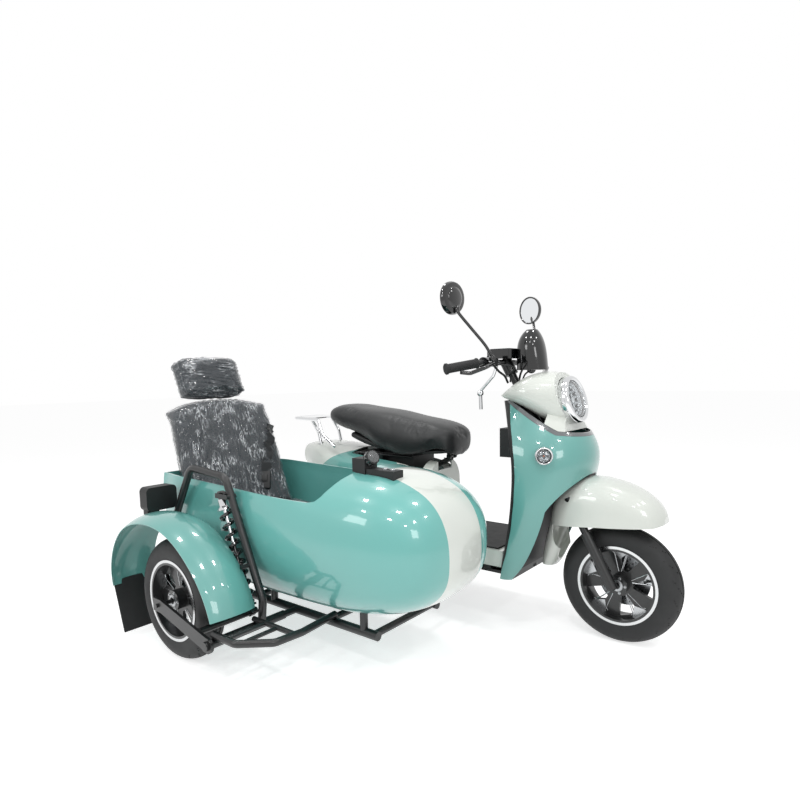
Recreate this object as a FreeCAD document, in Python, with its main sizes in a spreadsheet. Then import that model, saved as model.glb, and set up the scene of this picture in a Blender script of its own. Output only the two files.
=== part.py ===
"""Electric tricycle: a retro electric scooter with a single-seat sidecar on its right.

Frame: +X forward, +Y left, +Z up, millimetres, floor at z = 0.  Shapes are drawn from the
point on the floor below the front axle, and each sub-part's Placement moves them so that
the origin lies on the floor below the middle of the vehicle's outer box.
"""
import FreeCAD
import Part
import math
import os

import Sketcher
from FreeCAD import Placement, Rotation, Vector

os.makedirs("parts", exist_ok=True)
doc = FreeCAD.newDocument("electric_tricycle")

# ----------------------------------------------------------------------------- dimensions
DIMENSIONS = [
    # place of the scooter in the frame
    ("axle_ahead", 705.6), ("scooter_left", 376.9),
    # wheels
    ("wheelbase", 1270), ("tyre_radius", 210), ("tyre_section", 92), ("bead_radius", 127),
    ("flange_radius", 140), ("rim_width", 80), ("rim_wall", 4), ("hub_radius", 34),
    ("hub_width", 76), ("motor_radius", 92), ("motor_width", 84), ("axle_radius", 7),
    ("web_thick", 14), ("disc_radius", 92), ("disc_thick", 4), ("running_gap", 0.05),
    # steering
    ("rake", 28), ("fork_offset", 30), ("fork_spread", 164), ("slider_radius", 19),
    ("stanchion_radius", 14), ("stem_radius", 15), ("head_radius", 24),
    ("fender_room", 9), ("bar_radius", 11), ("bar_height", 1000), ("grip_radius", 17), ("bar_half", 330),
    # front body
    ("skin", 4), ("arch_half", 174.5), ("shield_half", 205), ("lamp_radius", 87),
    ("floor_height", 304), ("floor_half", 182), ("floor_front", 372), ("floor_back", 745),
    ("sill_height", 62), ("mat_thick", 6), ("tray_low", 205), ("tray_thick", 12), ("frame_half", 125),
    ("battery_length", 330), ("battery_width", 220), ("battery_height", 78),
    # rear body
    ("saddle_half", 140), ("body_half", 185), ("rack_height", 762),
    ("rack_tube", 8), ("rack_clear", 20), ("rack_plate_length", 150), ("rack_plate_width", 190),
    ("rack_hole_x", 110), ("rack_hole_y", 140), ("rack_hole_radius", 3.5),
    ("arm_half", 78), ("shock_radius", 19), ("side_shock_radius", 24),
    # sidecar
    ("sidecar_lead", 1158), ("track", 1008), ("tub_centre", 580), ("tub_half", 288),
    ("tub_skin", 5), ("tub_rim", 580), ("seat_half", 238), ("seat_lean", 20),
    ("backrest_length", 520), ("headrest_length", 182), ("headrest_half", 158),
    ("hoop_side", 893), ("hoop_radius", 13.5), ("rail_radius", 15),
    ("rail_height", 146), ("guard_width", 168), ("guard_thick", 3), ("arm_side", 1098),
    ("hinge_back", 715), ("hinge_height", 616), ("hinge_radius", 6), ("spoke_turn", 54),
    ("gap", 0.3),
]
sheet = doc.addObject("Spreadsheet::Sheet", "size")
for row, (alias, value) in enumerate(DIMENSIONS, start=1):
    sheet.set("A%d" % row, alias)
    sheet.set("B%d" % row, str(value))
    sheet.setAlias("B%d" % row, alias)
doc.recompute()


def size(alias):
    """The number in the sheet's cell of that name."""
    return float(sheet.get(alias))


SHIFT = Vector(size("axle_ahead"), size("scooter_left"), 0)
RAKE = math.radians(size("rake"))
STEER_UP = Vector(-math.sin(RAKE), 0, math.cos(RAKE))
STEER_FORWARD = Vector(math.cos(RAKE), 0, math.sin(RAKE))
FRONT_AXLE = Vector(0, 0, size("tyre_radius"))
REAR_AXLE = Vector(-size("wheelbase"), 0, size("tyre_radius"))
SIDE_AXLE = Vector(-size("sidecar_lead"), -size("track"), size("tyre_radius"))
STEER_BASE = FRONT_AXLE - STEER_FORWARD * size("fork_offset")
SUBPARTS = []


# --------------------------------------------------------------------------------- helpers
def steer_point(height, ahead=0.0, side=0.0):
    """Point at a height on the steering axis, moved square to it by `ahead` and `side`."""
    along = (height - STEER_BASE.z) / STEER_UP.z
    return STEER_BASE + STEER_UP * along + STEER_FORWARD * ahead + Vector(0, side, 0)


def keep(piece, label, shift=True):
    """Name a finished sub-part, move it to the vehicle's frame and list it for export."""
    piece.Label = label
    if shift:
        piece.Placement = Placement(SHIFT + piece.Placement.Base, piece.Placement.Rotation)
    SUBPARTS.append(piece)
    return piece


def feature(label, shape):
    """A sub-part whose shape comes from Part's own functions."""
    piece = doc.addObject("Part::Feature", label)
    piece.Shape = shape
    return keep(piece, label)


def rod(start, end, radius):
    """Round bar between two points."""
    axis = end - start
    return Part.makeCylinder(radius, axis.Length, start, axis)


def box(low, high):
    """Block between two corners."""
    return Part.makeBox(high[0] - low[0], high[1] - low[1], high[2] - low[2], Vector(*low))


def bent_path(points, bend):
    """Straight runs through the points, joined by tangent arcs of the bend radius."""
    edges = []
    start = points[0]
    for before, corner, after in zip(points, points[1:], points[2:]):
        back = (before - corner).normalize()
        ahead = (after - corner).normalize()
        half = back.getAngle(ahead) / 2
        cut = bend / math.tan(half)
        first = corner + back * cut
        last = corner + ahead * cut
        inside = (back + ahead).normalize()
        middle = corner + inside * (bend / math.sin(half) - bend)
        if (first - start).Length > 0.001:
            edges.append(Part.LineSegment(start, first).toShape())
        edges.append(Part.Arc(first, middle, last).toShape())
        start = last
    edges.append(Part.LineSegment(start, points[-1]).toShape())
    return Part.Wire(edges)


def tube(points, radius, bend=40.0):
    """Round bar bent along the points."""
    points = [Vector(*p) for p in points]
    if len(points) == 2:
        return rod(points[0], points[1], radius)
    path = bent_path(points, bend)
    circle = Part.Wire([Part.Circle(points[0], points[1] - points[0], radius).toShape()])
    sweep = Part.BRepOffsetAPI.MakePipeShell(path)
    sweep.setFrenetMode(True)
    sweep.add(circle)
    sweep.build()
    sweep.makeSolid()
    return sweep.shape()


def fuse(shapes):
    """One shape out of several that touch."""
    return shapes[0].multiFuse(shapes[1:]).removeSplitter()


def smooth_ring(points):
    """Closed smooth curve through the points."""
    curve = Part.BSplineCurve()
    curve.interpolate(Points=[Vector(*p) for p in points], PeriodicFlag=True)
    return Part.Wire([curve.toShape()])


def oval_x(x, half, low, high, centre=0.0, power=2.6, count=16):
    """Upright superellipse ring across the vehicle at x."""
    middle, rise = (low + high) / 2, (high - low) / 2
    points = []
    for step in range(count):
        turn = 2 * math.pi * (step + 0.5) / count
        c, s = math.cos(turn), math.sin(turn)
        y = centre + half * math.copysign(abs(c) ** (2 / power), c)
        z = middle + rise * math.copysign(abs(s) ** (2 / power), s)
        points.append((x, y, z))
    return smooth_ring(points)


def oval_z(z, half, back, front, power=2.2, count=16):
    """Level superellipse ring about the centre plane at height z."""
    middle, reach = (back + front) / 2, (front - back) / 2
    points = []
    for step in range(count):
        turn = 2 * math.pi * (step + 0.5) / count
        c, s = math.cos(turn), math.sin(turn)
        x = middle + reach * math.copysign(abs(c) ** (2 / power), c)
        y = half * math.copysign(abs(s) ** (2 / power), s)
        points.append((x, y, z))
    return smooth_ring(points)


def plate_xz(points, low_y, high_y):
    """Flat plate with a side outline, from low_y to high_y."""
    ring = [Vector(x, low_y, z) for x, z in points]
    face = Part.Face(Part.makePolygon(ring + ring[:1]))
    return face.extrude(Vector(0, high_y - low_y, 0))


def mirrored(shape):
    """The same shape on the other side of the scooter's centre plane."""
    return shape.mirror(Vector(0, 0, 0), Vector(0, 1, 0))


def body_sketch(body, role, name):
    """Sketch on one of a body's own origin planes."""
    plane = [f for f in body.Origin.OriginFeatures if f.Role == role][0]
    sketch = body.newObject("Sketcher::SketchObject", name)
    sketch.AttachmentSupport = [(plane, "")]
    sketch.MapMode = "FlatFace"
    return sketch


def outline(sketch, corners):
    """Closed outline whose corners are bound to pairs of expressions."""
    spots = [Vector(sheet_value(x), sheet_value(y), 0) for x, y in corners]
    first = sketch.GeometryCount
    for here, there in zip(spots, spots[1:] + spots[:1]):
        sketch.addGeometry(Part.LineSegment(here, there))
    count = len(corners)
    for step, (x, y) in enumerate(corners):
        line = first + step
        after = first + (step + 1) % count
        sketch.addConstraint(Sketcher.Constraint("Coincident", line, 2, after, 1))
        for kind, expression, value in (("DistanceX", x, spots[step].x),
                                        ("DistanceY", y, spots[step].y)):
            index = sketch.addConstraint(Sketcher.Constraint(kind, -1, 1, line, 1, value))
            sketch.setExpression("Constraints[%d]" % index, expression)


def sheet_value(expression):
    """The value of an expression in the sheet's names."""
    names = {alias: size(alias) for alias, _ in DIMENSIONS}
    text = expression
    for alias in sorted(names, key=len, reverse=True):
        text = text.replace("size." + alias, repr(names[alias]))
    return FreeCAD.Units.Quantity(text).Value


def upright_wheel(body, centre):
    """Turn a body drawn about its own Z so that it spins about Y at the centre."""
    body.Placement = Placement(centre, Rotation(Vector(1, 0, 0), -90))


# ----------------------------------------------------------------------------------- wheels
def make_tyre(label, centre):
    """Round-shouldered tyre: an arc closed by the flat of its bead, spun about the axle."""
    body = doc.addObject("PartDesign::Body", label)
    sketch = body_sketch(body, "XZ_Plane", label + "_profile")
    section = size("tyre_section") / 2
    middle = size("tyre_radius") - section
    bead = size("bead_radius")
    drop = middle - bead
    start = math.atan2(math.sqrt(section ** 2 - drop ** 2), -drop)
    arc = Part.ArcOfCircle(Part.Circle(Vector(middle, 0, 0), Vector(0, 0, 1), section),
                           -start, start)
    sketch.addGeometry(arc)
    sketch.addGeometry(Part.LineSegment(arc.EndPoint, arc.StartPoint))
    sketch.addConstraint(Sketcher.Constraint("Coincident", 0, 2, 1, 1))
    sketch.addConstraint(Sketcher.Constraint("Coincident", 1, 2, 0, 1))
    sketch.addConstraint(Sketcher.Constraint("Vertical", 1))
    bound = [("Radius", (0,), section, "size.tyre_section / 2"),
             ("DistanceX", (-1, 1, 0, 3), middle, "size.tyre_radius - size.tyre_section / 2"),
             ("DistanceX", (-1, 1, 1, 1), bead, "size.bead_radius")]
    sketch.addConstraint(Sketcher.Constraint("PointOnObject", 0, 3, -1))
    for kind, places, value, expression in bound:
        index = sketch.addConstraint(Sketcher.Constraint(kind, *places, value))
        sketch.setExpression("Constraints[%d]" % index, expression)
    spin = body.newObject("PartDesign::Revolution", label + "_spin")
    spin.Profile = sketch
    spin.ReferenceAxis = (sketch, ["V_Axis"])
    spin.Angle = 360
    upright_wheel(body, centre)
    return keep(body, label)


def make_rim(label, centre, hub_radius="size.hub_radius", hub_half="size.hub_width / 2"):
    """Cast rim: barrel with flanges, web with five windows, and a bored hub."""
    body = doc.addObject("PartDesign::Body", label)
    sketch = body_sketch(body, "XZ_Plane", label + "_profile")
    edge = "size.rim_width / 2"
    seat = "size.bead_radius - size.gap"
    inner = "size.bead_radius - size.gap - size.rim_wall"
    bore = "size.axle_radius + size.running_gap"
    half = "size.web_thick / 2"
    flange = "size.flange_radius"
    corners = [(bore, "-(%s)" % hub_half), (hub_radius, "-(%s)" % hub_half),
               (hub_radius, "-(%s)" % half), (inner, "-(%s)" % half),
               (inner, "-(%s) - size.rim_wall" % edge),
               (flange, "-(%s) - size.rim_wall" % edge),
               (flange, "-(%s)" % edge), (seat, "-(%s)" % edge), (seat, edge),
               (flange, edge), (flange, "%s + size.rim_wall" % edge),
               (inner, "%s + size.rim_wall" % edge), (inner, half),
               (hub_radius, half), (hub_radius, hub_half), (bore, hub_half)]
    outline(sketch, corners)
    spin = body.newObject("PartDesign::Revolution", label + "_spin")
    spin.Profile = sketch
    spin.ReferenceAxis = (sketch, ["V_Axis"])
    spin.Angle = 360
    doc.recompute()
    if hub_radius == "size.hub_radius":
        window = body_sketch(body, "XY_Plane", label + "_window")
        near, far = "size.hub_radius + 12", "size.bead_radius - size.rim_wall - 10"
        outline(window, [(near, "-11"), (far, "-38"), (far, "38"), (near, "11")])
        cut = body.newObject("PartDesign::Pocket", label + "_cut")
        cut.Profile = window
        cut.Midplane = True
        cut.Length = 60
        doc.recompute()
        around = body.newObject("PartDesign::PolarPattern", label + "_windows")
        around.Originals = [cut]
        around.Axis = (window, ["N_Axis"])
        around.Angle = 360
        around.Occurrences = 5
        body.Tip = around
    upright_wheel(body, centre)
    return keep(body, label)


make_tyre("front_tyre", FRONT_AXLE)
make_rim("front_rim", FRONT_AXLE)
make_tyre("rear_tyre", REAR_AXLE)
make_rim("rear_rim", REAR_AXLE, "size.motor_radius", "size.motor_width / 2")
make_tyre("sidecar_tyre", SIDE_AXLE)
make_rim("sidecar_rim", SIDE_AXLE)

disc = doc.addObject("Part::Cylinder", "disc_blank")
disc.setExpression("Radius", "size.disc_radius")
disc.setExpression("Height", "size.disc_thick")
eye = doc.addObject("Part::Cylinder", "disc_eye")
eye.setExpression("Radius", "size.hub_radius - 8")
eye.Height = 40
eye.Placement = Placement(Vector(0, 0, -10), Rotation())
front_disc = doc.addObject("Part::Cut", "front_disc")
front_disc.Base, front_disc.Tool = disc, eye
front_disc.Placement = Placement(Vector(0, size("hub_width") / 2, size("tyre_radius")),
                                 Rotation(Vector(1, 0, 0), -90))
keep(front_disc, "front_brake_disc")


# --------------------------------------------------------------------------------- steering
def make_fork():
    """Stem, lower yoke, two telescopic legs, the front axle and the brake caliper."""
    half = size("fork_spread") / 2
    pieces = [rod(steer_point(470), steer_point(size("bar_height") - 16), size("stem_radius"))]
    yoke = rod(steer_point(488, size("fork_offset"), -half - 10),
               steer_point(488, size("fork_offset"), half + 10), 17)
    pieces.append(yoke)
    pieces.append(rod(steer_point(488), steer_point(488, size("fork_offset")), 20))
    for side in (-half, half):
        foot = steer_point(FRONT_AXLE.z - 14, size("fork_offset"), side)
        foot_mid = steer_point(380, size("fork_offset"), side)
        top = steer_point(500, size("fork_offset"), side)
        pieces.append(rod(foot, foot_mid, size("slider_radius")))
        pieces.append(rod(foot_mid, top, size("stanchion_radius")))
    pieces.append(rod(Vector(0, -half - 14, FRONT_AXLE.z), Vector(0, half + 14, FRONT_AXLE.z),
                      size("axle_radius")))
    disc_low = size("hub_width") / 2
    disc_high = disc_low + size("disc_thick")
    caliper_at = FRONT_AXLE + Vector(-76, 0, 42)
    caliper = rod(caliper_at + Vector(0, disc_low - 12, 0), caliper_at + Vector(0, half, 0), 23)
    slot = Part.makeCylinder(size("disc_radius") + 3, disc_high - disc_low + 4,
                             FRONT_AXLE + Vector(0, disc_low - 2, 0), Vector(0, 1, 0))
    arm = box((caliper_at.x, disc_high + 8, caliper_at.z - 8),
              (-40, half, caliper_at.z + 8))
    pieces += [caliper.cut(slot), arm]
    return fuse(pieces)


front_fork = make_fork()
feature("front_fork", front_fork)


FENDER = [  # x, top, half width share
    (150, 470, 0.30), (128, 505, 0.62), (60, 553, 0.90), (-30, 580, 1.0), (-110, 583, 1.0),
    (-180, 556, 0.93), (-228, 505, 0.70)]
FENDER_TAIL = [  # height, back, front, half width
    (480, -232, -100, 84), (400, -258, -150, 78), (320, -278, -190, 66), (238, -290, -235, 46)]


def fender_half():
    """Half width of the front fender, outside the fork legs."""
    return size("fork_spread") / 2 + size("slider_radius") + size("fender_room")


def fender_solid(less):
    """The fender's domed outer form, made smaller all round by `less`."""
    rings = []
    last = len(FENDER) - 1
    for step, (x, top, share) in enumerate(FENDER):
        x += -less if step == 0 else (less if step == last else 0)
        rings.append(oval_x(x, fender_half() * share - less, 300 + less, top - less, power=2.8))
    return Part.makeLoft(rings, True)


def tail_solid(less):
    """The fender's tail behind the wheel, made smaller all round by `less`."""
    rings = [oval_z(z, half - less, back + less, front - less)
             for z, back, front, half in FENDER_TAIL]
    return Part.makeLoft(rings, True)


def make_front_fender():
    """Deep fender over the wheel, carried by the fork: a hollow shell with a rear tail."""
    thick = 3
    wide = fender_half() + 20
    below = plate_xz([(-260, 404), (-146, 414), (-55, 424), (61, 433), (128, 438), (170, 452),
                      (170, 200), (-260, 200)], -wide, wide)
    dome = fender_solid(0).cut(fender_solid(thick)).cut(below)
    wheel_room = rod(FRONT_AXLE - Vector(0, 200, 0), FRONT_AXLE + Vector(0, 200, 0),
                     size("tyre_radius") + 20)
    tail = tail_solid(0).cut(tail_solid(thick)).cut(fender_solid(thick)).cut(wheel_room)
    tail = tail.cut(box((-400, -200, 470), (0, 200, 700)))
    stem_hole = rod(steer_point(440), steer_point(640), size("stem_radius") + size("gap"))
    fender = dome.fuse(tail).cut(stem_hole)
    for side in (-1, 1):
        leg = size("fork_offset"), side * size("fork_spread") / 2
        fender = fender.cut(rod(steer_point(300, *leg), steer_point(500, *leg),
                                size("slider_radius") + size("gap")))
    return max(fender.Solids, key=lambda solid: solid.Volume)


feature("front_fender", make_front_fender().cut(front_fork))

bar_h = size("bar_height")
bar_x = steer_point(bar_h).x
BAR_END = Vector(-512, -size("bar_half"), 977)
BAR_BEND = Vector(-441, -215, 998)


def make_handlebar():
    """Bar swept back at both ends, with the clamp on the stem."""
    half = [(bar_x, -60, bar_h), (BAR_BEND.x, BAR_BEND.y, BAR_BEND.z), tuple(BAR_END)]
    other = [(x, -y, z) for x, y, z in half]
    bar = tube(list(reversed(half)) + other, size("bar_radius"), 60)
    clamp = rod(steer_point(bar_h - 46), steer_point(bar_h + 12), size("head_radius"))
    socket = rod(steer_point(bar_h - 80), steer_point(bar_h - 16),
                 size("stem_radius") + size("running_gap"))
    return bar.fuse(clamp).cut(socket).removeSplitter()


handlebar = make_handlebar()
feature("handlebar", handlebar)


def along_bar(share):
    """Point on the straight right end of the bar, from the bend (0) to the end (1)."""
    return BAR_BEND + (BAR_END - BAR_BEND) * share


def inner_bar(share):
    """Point on the inner right run of the bar, from the clamp (0) to the bend (1)."""
    return Vector(bar_x, -60, bar_h) * (1 - share) + BAR_BEND * share


def make_grip():
    """Rubber grip over the bar's end."""
    start, end = along_bar(0.10), along_bar(1.04)
    outer = rod(start, end, size("grip_radius"))
    inner = rod(start - (end - start) * 0.1, along_bar(1.0),
                size("bar_radius") + size("running_gap"))
    return outer.cut(inner).cut(handlebar)


grip = make_grip()
feature("grips", Part.Compound([grip, mirrored(grip)]))


def make_lever():
    """Brake lever with its perch around the bar."""
    start, end = inner_bar(0.66), inner_bar(0.88)
    perch = rod(start, end, 20).cut(rod(inner_bar(0.4), inner_bar(1.0), size("bar_radius")))
    pivot = inner_bar(0.77) + Vector(36, 0, -4)
    block = rod(inner_bar(0.77) + Vector(15, 0, -2), pivot, 12)
    blade = tube([tuple(pivot), (-398, -250, 980), (-432, -300, 960), (-452, -330, 964)], 7, 30)
    return perch.fuse(block).fuse(blade).removeSplitter().cut(handlebar)


lever = make_lever()
feature("brake_levers", Part.Compound([lever, mirrored(lever)]))


def make_mirror(face):
    """Round mirror on its stalk, its glass turned to `face`."""
    head = Vector(-500, -300, 1225)
    root = inner_bar(0.77) + Vector(10, 0, 14)
    stalk = tube([tuple(root), (-424, -205, 1052), tuple(head + Vector(16, 8, -52))], 6, 20)
    face = Vector(*face).normalize()
    shell = Part.makeCylinder(58, 22, head - face * 11, face)
    shell = shell.makeFillet(8, [shell.Edges[0]])
    knuckle = rod(head + Vector(16, 8, -56), head + Vector(6, 2, -30), 9)
    whole = stalk.fuse(knuckle).fuse(shell).removeSplitter()
    return whole.cut(rod(inner_bar(0.5), inner_bar(1.0), 20))


feature("mirrors", Part.Compound([make_mirror((-0.99, 0.12, 0)),
                                  mirrored(make_mirror((-0.30, 0.95, 0)))]))


def make_instrument():
    """Instrument case on the bar clamp with a tall cowl in front."""
    case = box((-505, -70, bar_h + 14), (-398, 70, bar_h + 50))
    case = case.makeFillet(12, [e for e in case.Edges if abs(e.Length - 36) < 0.1])
    cowl = Part.makeLoft([oval_z(bar_h + up, half, back, front) for up, half, back, front in (
        (-31, 50, -402, -284), (30, 53, -402, -292), (86, 44, -392, -306),
        (120, 20, -366, -326))], True)
    whole = case.fuse(cowl).removeSplitter()
    return whole.cut(rod(steer_point(bar_h - 46), steer_point(bar_h + 12), size("head_radius")))


feature("instrument", make_instrument())


def make_parking_lever():
    """Chrome parking lever that hangs below the right of the bar."""
    ring = rod(inner_bar(0.2), inner_bar(0.32), 16).cut(
        rod(inner_bar(0), inner_bar(0.6), size("bar_radius")))
    top = inner_bar(0.26) + Vector(10, 0, -12)
    arm = tube([tuple(top), (-455, -100, 950), (-512, -100, 892)], 6, 20).fuse(ring)
    knob = Part.makeSphere(13, Vector(-512, -100, 884))
    handle = rod(Vector(-512, -100, 880), Vector(-510, -100, 822), 7)
    return arm.fuse(knob).fuse(handle).removeSplitter()


feature("parking_lever", make_parking_lever().cut(handlebar))


# ------------------------------------------------------------- outer forms of the bodies
REAR = [  # x, half width share, bottom, top
    (-750, 0.62, 330, 600), (-860, 0.86, 300, 606), (-980, 0.97, 290, 612),
    (-1100, 1.0, 300, 620), (-1220, 0.97, 330, 632), (-1340, 0.86, 380, 644),
    (-1460, 0.62, 450, 646), (-1560, 0.36, 520, 630)]


def rear_solid(less):
    """The rear body's outer form, made smaller all round by `less`."""
    rings = []
    last = len(REAR) - 1
    for step, (x, share, low, high) in enumerate(REAR):
        x += -less if step == 0 else (less if step == last else 0)
        rings.append(oval_x(x, size("body_half") * share - less, low + less, high - less,
                            power=2.7))
    return Part.makeLoft(rings, True)


TUB = [  # x, half width share, bottom, top
    (-269.3, 0.06, 399, 423), (-272, 0.22, 372, 450), (-282, 0.42, 330, 495), (-305, 0.60, 292, 545),
    (-345, 0.74, 256, 588), (-410, 0.86, 222, 622), (-500, 0.94, 196, 646),
    (-600, 0.98, 181, 652), (-700, 0.99, 172, 672), (-800, 1.0, 166, 720),
    (-1050, 1.0, 162, 760), (-1300, 0.99, 172, 760), (-1450, 0.96, 200, 760),
    (-1545, 0.90, 250, 760)]


def tub_solid(less):
    """The sidecar body's outer form, made smaller all round by `less`."""
    rings = []
    last = len(TUB) - 1
    for step, (x, share, low, high) in enumerate(TUB):
        x += -less if step == 0 else (less if step == last else 0)
        rings.append(oval_x(x, size("tub_half") * share - less, low + less, high - less,
                            -size("tub_centre"), 2.7))
    return Part.makeLoft(rings, True)


# -------------------------------------------------------------------------------- main frame
def down_tube(grow):
    """Tube from the head down to the floor tray."""
    return tube([(-296, 0, 690), (-343, 0, 560), (-343, 0, size("tray_low") + 6)], 20 + grow, 90)


def make_main_frame():
    """Head tube, down tube, floor rails with their tray, and the seat tubes."""
    head = rod(steer_point(600), steer_point(880), size("head_radius"))
    bore = rod(steer_point(400), steer_point(960), size("stem_radius") + size("running_gap"))
    down = down_tube(0)
    rail_z, rail_y = size("tray_low") + 21, size("frame_half")
    pieces = [head, down]
    for side in (-rail_y, rail_y):
        pieces.append(tube([(-420, side, rail_z), (-845, side, rail_z), (-935, side * 0.85, 560),
                            (-1440, side * 0.72, 600)], 14, 60))
    pieces.append(rod(Vector(-1430, -rail_y * 0.72, 599), Vector(-1430, rail_y * 0.72, 599), 12))
    pieces.append(rod(Vector(-1200, -96, 581), Vector(-1200, 96, 581), 10))
    tray_low, tray_top = size("tray_low"), size("tray_low") + size("tray_thick")
    pieces.append(box((-820, -rail_y - 24, tray_low), (-380, rail_y + 24, tray_top)))
    pieces.append(box((-390, -34, tray_low), (-343, 34, tray_top)))
    for side in (-rail_y, rail_y):
        for x in (-440, -780):
            pieces.append(box((x - 12, side - 8, tray_low), (x + 12, side + 8, rail_z)))
    for side in (-1, 1):
        pieces.append(rod(Vector(-1330, side * 88, 580), Vector(-1330, side * 126, 580), 8))
    pieces.append(tube([(-830, 0, rail_z), (-830, 0, 552), (-size("hinge_back"), 0,
                                                           size("hinge_height") - 8)], 11, 60))
    pieces.append(rod(Vector(-830, -rail_y, rail_z), Vector(-830, rail_y, rail_z), 12))
    pieces.append(rod(Vector(-size("hinge_back"), -30, size("hinge_height")),
                      Vector(-size("hinge_back"), 30, size("hinge_height")),
                      size("hinge_radius")))
    wall = size("floor_half") - size("skin")
    for x in (-440, -700):
        for side in (-1, 1):
            low, high = sorted((side * rail_y, side * wall))
            pieces.append(box((x - 15, low, rail_z), (x + 15, high, rail_z + 45)))
    inside = rear_solid(size("skin") + size("gap") / 3)
    for x in (-1020, -1300):
        for side in (-1, 1):
            low, high = sorted((side * 88, side * 108))
            stub = box((x - 10, low, 560), (x + 10, high, 700))
            pieces.append(stub.common(inside) if x < -1200 else stub.cut(
                box((x - 20, -200, 612), (x + 20, 200, 800))))
    arm_pivot = rod(Vector(-880, -rail_y, 330), Vector(-880, rail_y, 330), 20)
    pieces.append(arm_pivot)
    return fuse(pieces).cut(bore)


main_frame = make_main_frame()
feature("main_frame", main_frame)


# -------------------------------------------------------------------------------- front body
SHIELD = [  # height, front of the skin, side edge, half width
    (200, -300, -372, 0.92), (300, -222, -342, 1.01), (400, -172, -322, 1.03),
    (500, -132, -312, 1.02), (590, -106, -312, 0.98), (650, -96, -318, 0.95),
    (720, -112, -335, 0.86), (790, -160, -360, 0.70), (855, -232, -388, 0.50)]


def shield_ring(height, front, edge, share, less=0.0):
    """Level ring whose front half is the leg shield's skin."""
    half = size("shield_half") * share - less
    reach = front - less - edge
    return oval_z(height, half, edge - reach, front - less)


def shield_solid(less):
    """The front shield's outer form, made smaller all round by `less`."""
    return Part.makeLoft([shield_ring(*row, less=less) for row in SHIELD], True)


def arch_solid(grow):
    """Wheel arch: the room that the front wheel and fender turn in, grown all round."""
    half = size("arch_half") + grow
    side = plate_xz([(60, 594 + grow), (-265 - grow, 594 + grow), (-304 - grow, 520),
                     (-309 - grow, 400), (-314 - grow, 240), (-400 - grow, 100), (60, 100)],
                    -half, half)
    spring = 470
    crown = Part.Arc(Vector(60, half, spring), Vector(60, 0, 596 + grow),
                     Vector(60, -half, spring))
    low_right, low_left = Vector(60, -half, 90), Vector(60, half, 90)
    face = Part.Face(Part.Wire([crown.toShape(),
                                Part.LineSegment(Vector(60, -half, spring), low_right).toShape(),
                                Part.LineSegment(low_right, low_left).toShape(),
                                Part.LineSegment(low_left, Vector(60, half, spring)).toShape()]))
    return side.common(face.extrude(Vector(-560, 0, 0)))


def make_leg_shield():
    """Front shield: a curved skin open behind, with the wheel arch cut out of it."""
    outer = shield_solid(0)
    inner = shield_solid(size("skin"))
    rear = plate_xz([(-900, 100), (-380, 100), (-380, 200), (-345, 300), (-322, 400),
                     (-312, 500), (-312, 590), (-318, 650), (-335, 720), (-360, 790),
                     (-388, 870), (-900, 870)], -400, 400)
    arch = arch_solid(0)
    top = plate_xz([(-420, 868), (-329, 815), (-249, 769), (-191, 738), (-50, 722),
                    (-50, 950), (-420, 950)], -300, 300)
    return outer.cut(inner.fuse(rear)).cut(arch).cut(top)


leg_shield = make_leg_shield()
feature("leg_shield", leg_shield)


def nacelle_solid(less):
    """The headlamp nacelle's outer form, made smaller all round by `less`."""
    rings = []
    for x, half, low, high in ((-182, 90, 775, 950), (-220, 108, 766, 957),
                               (-270, 124, 782, 962), (-320, 132, 812, 955),
                               (-370, 128, 838, 930), (-420, 105, 858, 886)):
        rings.append(oval_x(x, half - less, low + less, high - less, power=2.3))
    return Part.makeLoft(rings, True)


def panel_solid(less):
    """The rider's side of the shield, nested inside its skin, made smaller by `less`."""
    rings = []
    inset = size("skin") + size("gap") + less
    for height, front, edge, share in SHIELD:
        half = size("shield_half") * share - inset
        rings.append(oval_z(height, half, edge - 44 + less, edge + 44 - less, power=2.6))
    return Part.makeLoft(rings, True)


def make_inner_panel():
    """Black liner: the rider's side of the shield and the arch behind the front wheel."""
    wall = 3
    back = panel_solid(0).cut(panel_solid(wall))
    keep_back = plate_xz([(-900, 100), (-372, 100), (-372, 200), (-337, 300), (-314, 400),
                          (-304, 500), (-304, 590), (-310, 650), (-327, 720), (-352, 790),
                          (-380, 880), (-900, 880)], -400, 400)
    arch = arch_solid(wall).cut(arch_solid(0)).common(shield_solid(size("skin") + size("gap")))
    pocket = box((-440, -80, 640), (-374, 80, 750))
    panel = back.common(keep_back).fuse(arch).fuse(pocket)
    floor = box((-900, -400, 150), (-size("floor_front") + size("gap"), 400,
                                    size("floor_height") + size("mat_thick") + size("gap")))
    column = rod(steer_point(420), steer_point(1000), size("head_radius") + size("gap"))
    panel = panel.cut(nacelle_solid(-size("gap"))).cut(floor).cut(column).cut(down_tube(
        size("gap")))
    panel = panel.cut(leg_shield).cut(lens_strip)
    return Part.Compound([solid for solid in panel.Solids if solid.Volume > 1000])


LAMP_FACING = Vector(math.cos(math.radians(15.6)), 0, math.sin(math.radians(15.6)))
LAMP_CENTRE = Vector(-172, 0, 862)
LAMP_DEPTH = 34


def lamp_front(depth):
    """Everything ahead of a plane square to the lamp, `depth` behind its face."""
    return Part.makeCylinder(400, 400, LAMP_CENTRE - LAMP_FACING * depth, LAMP_FACING)


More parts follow.
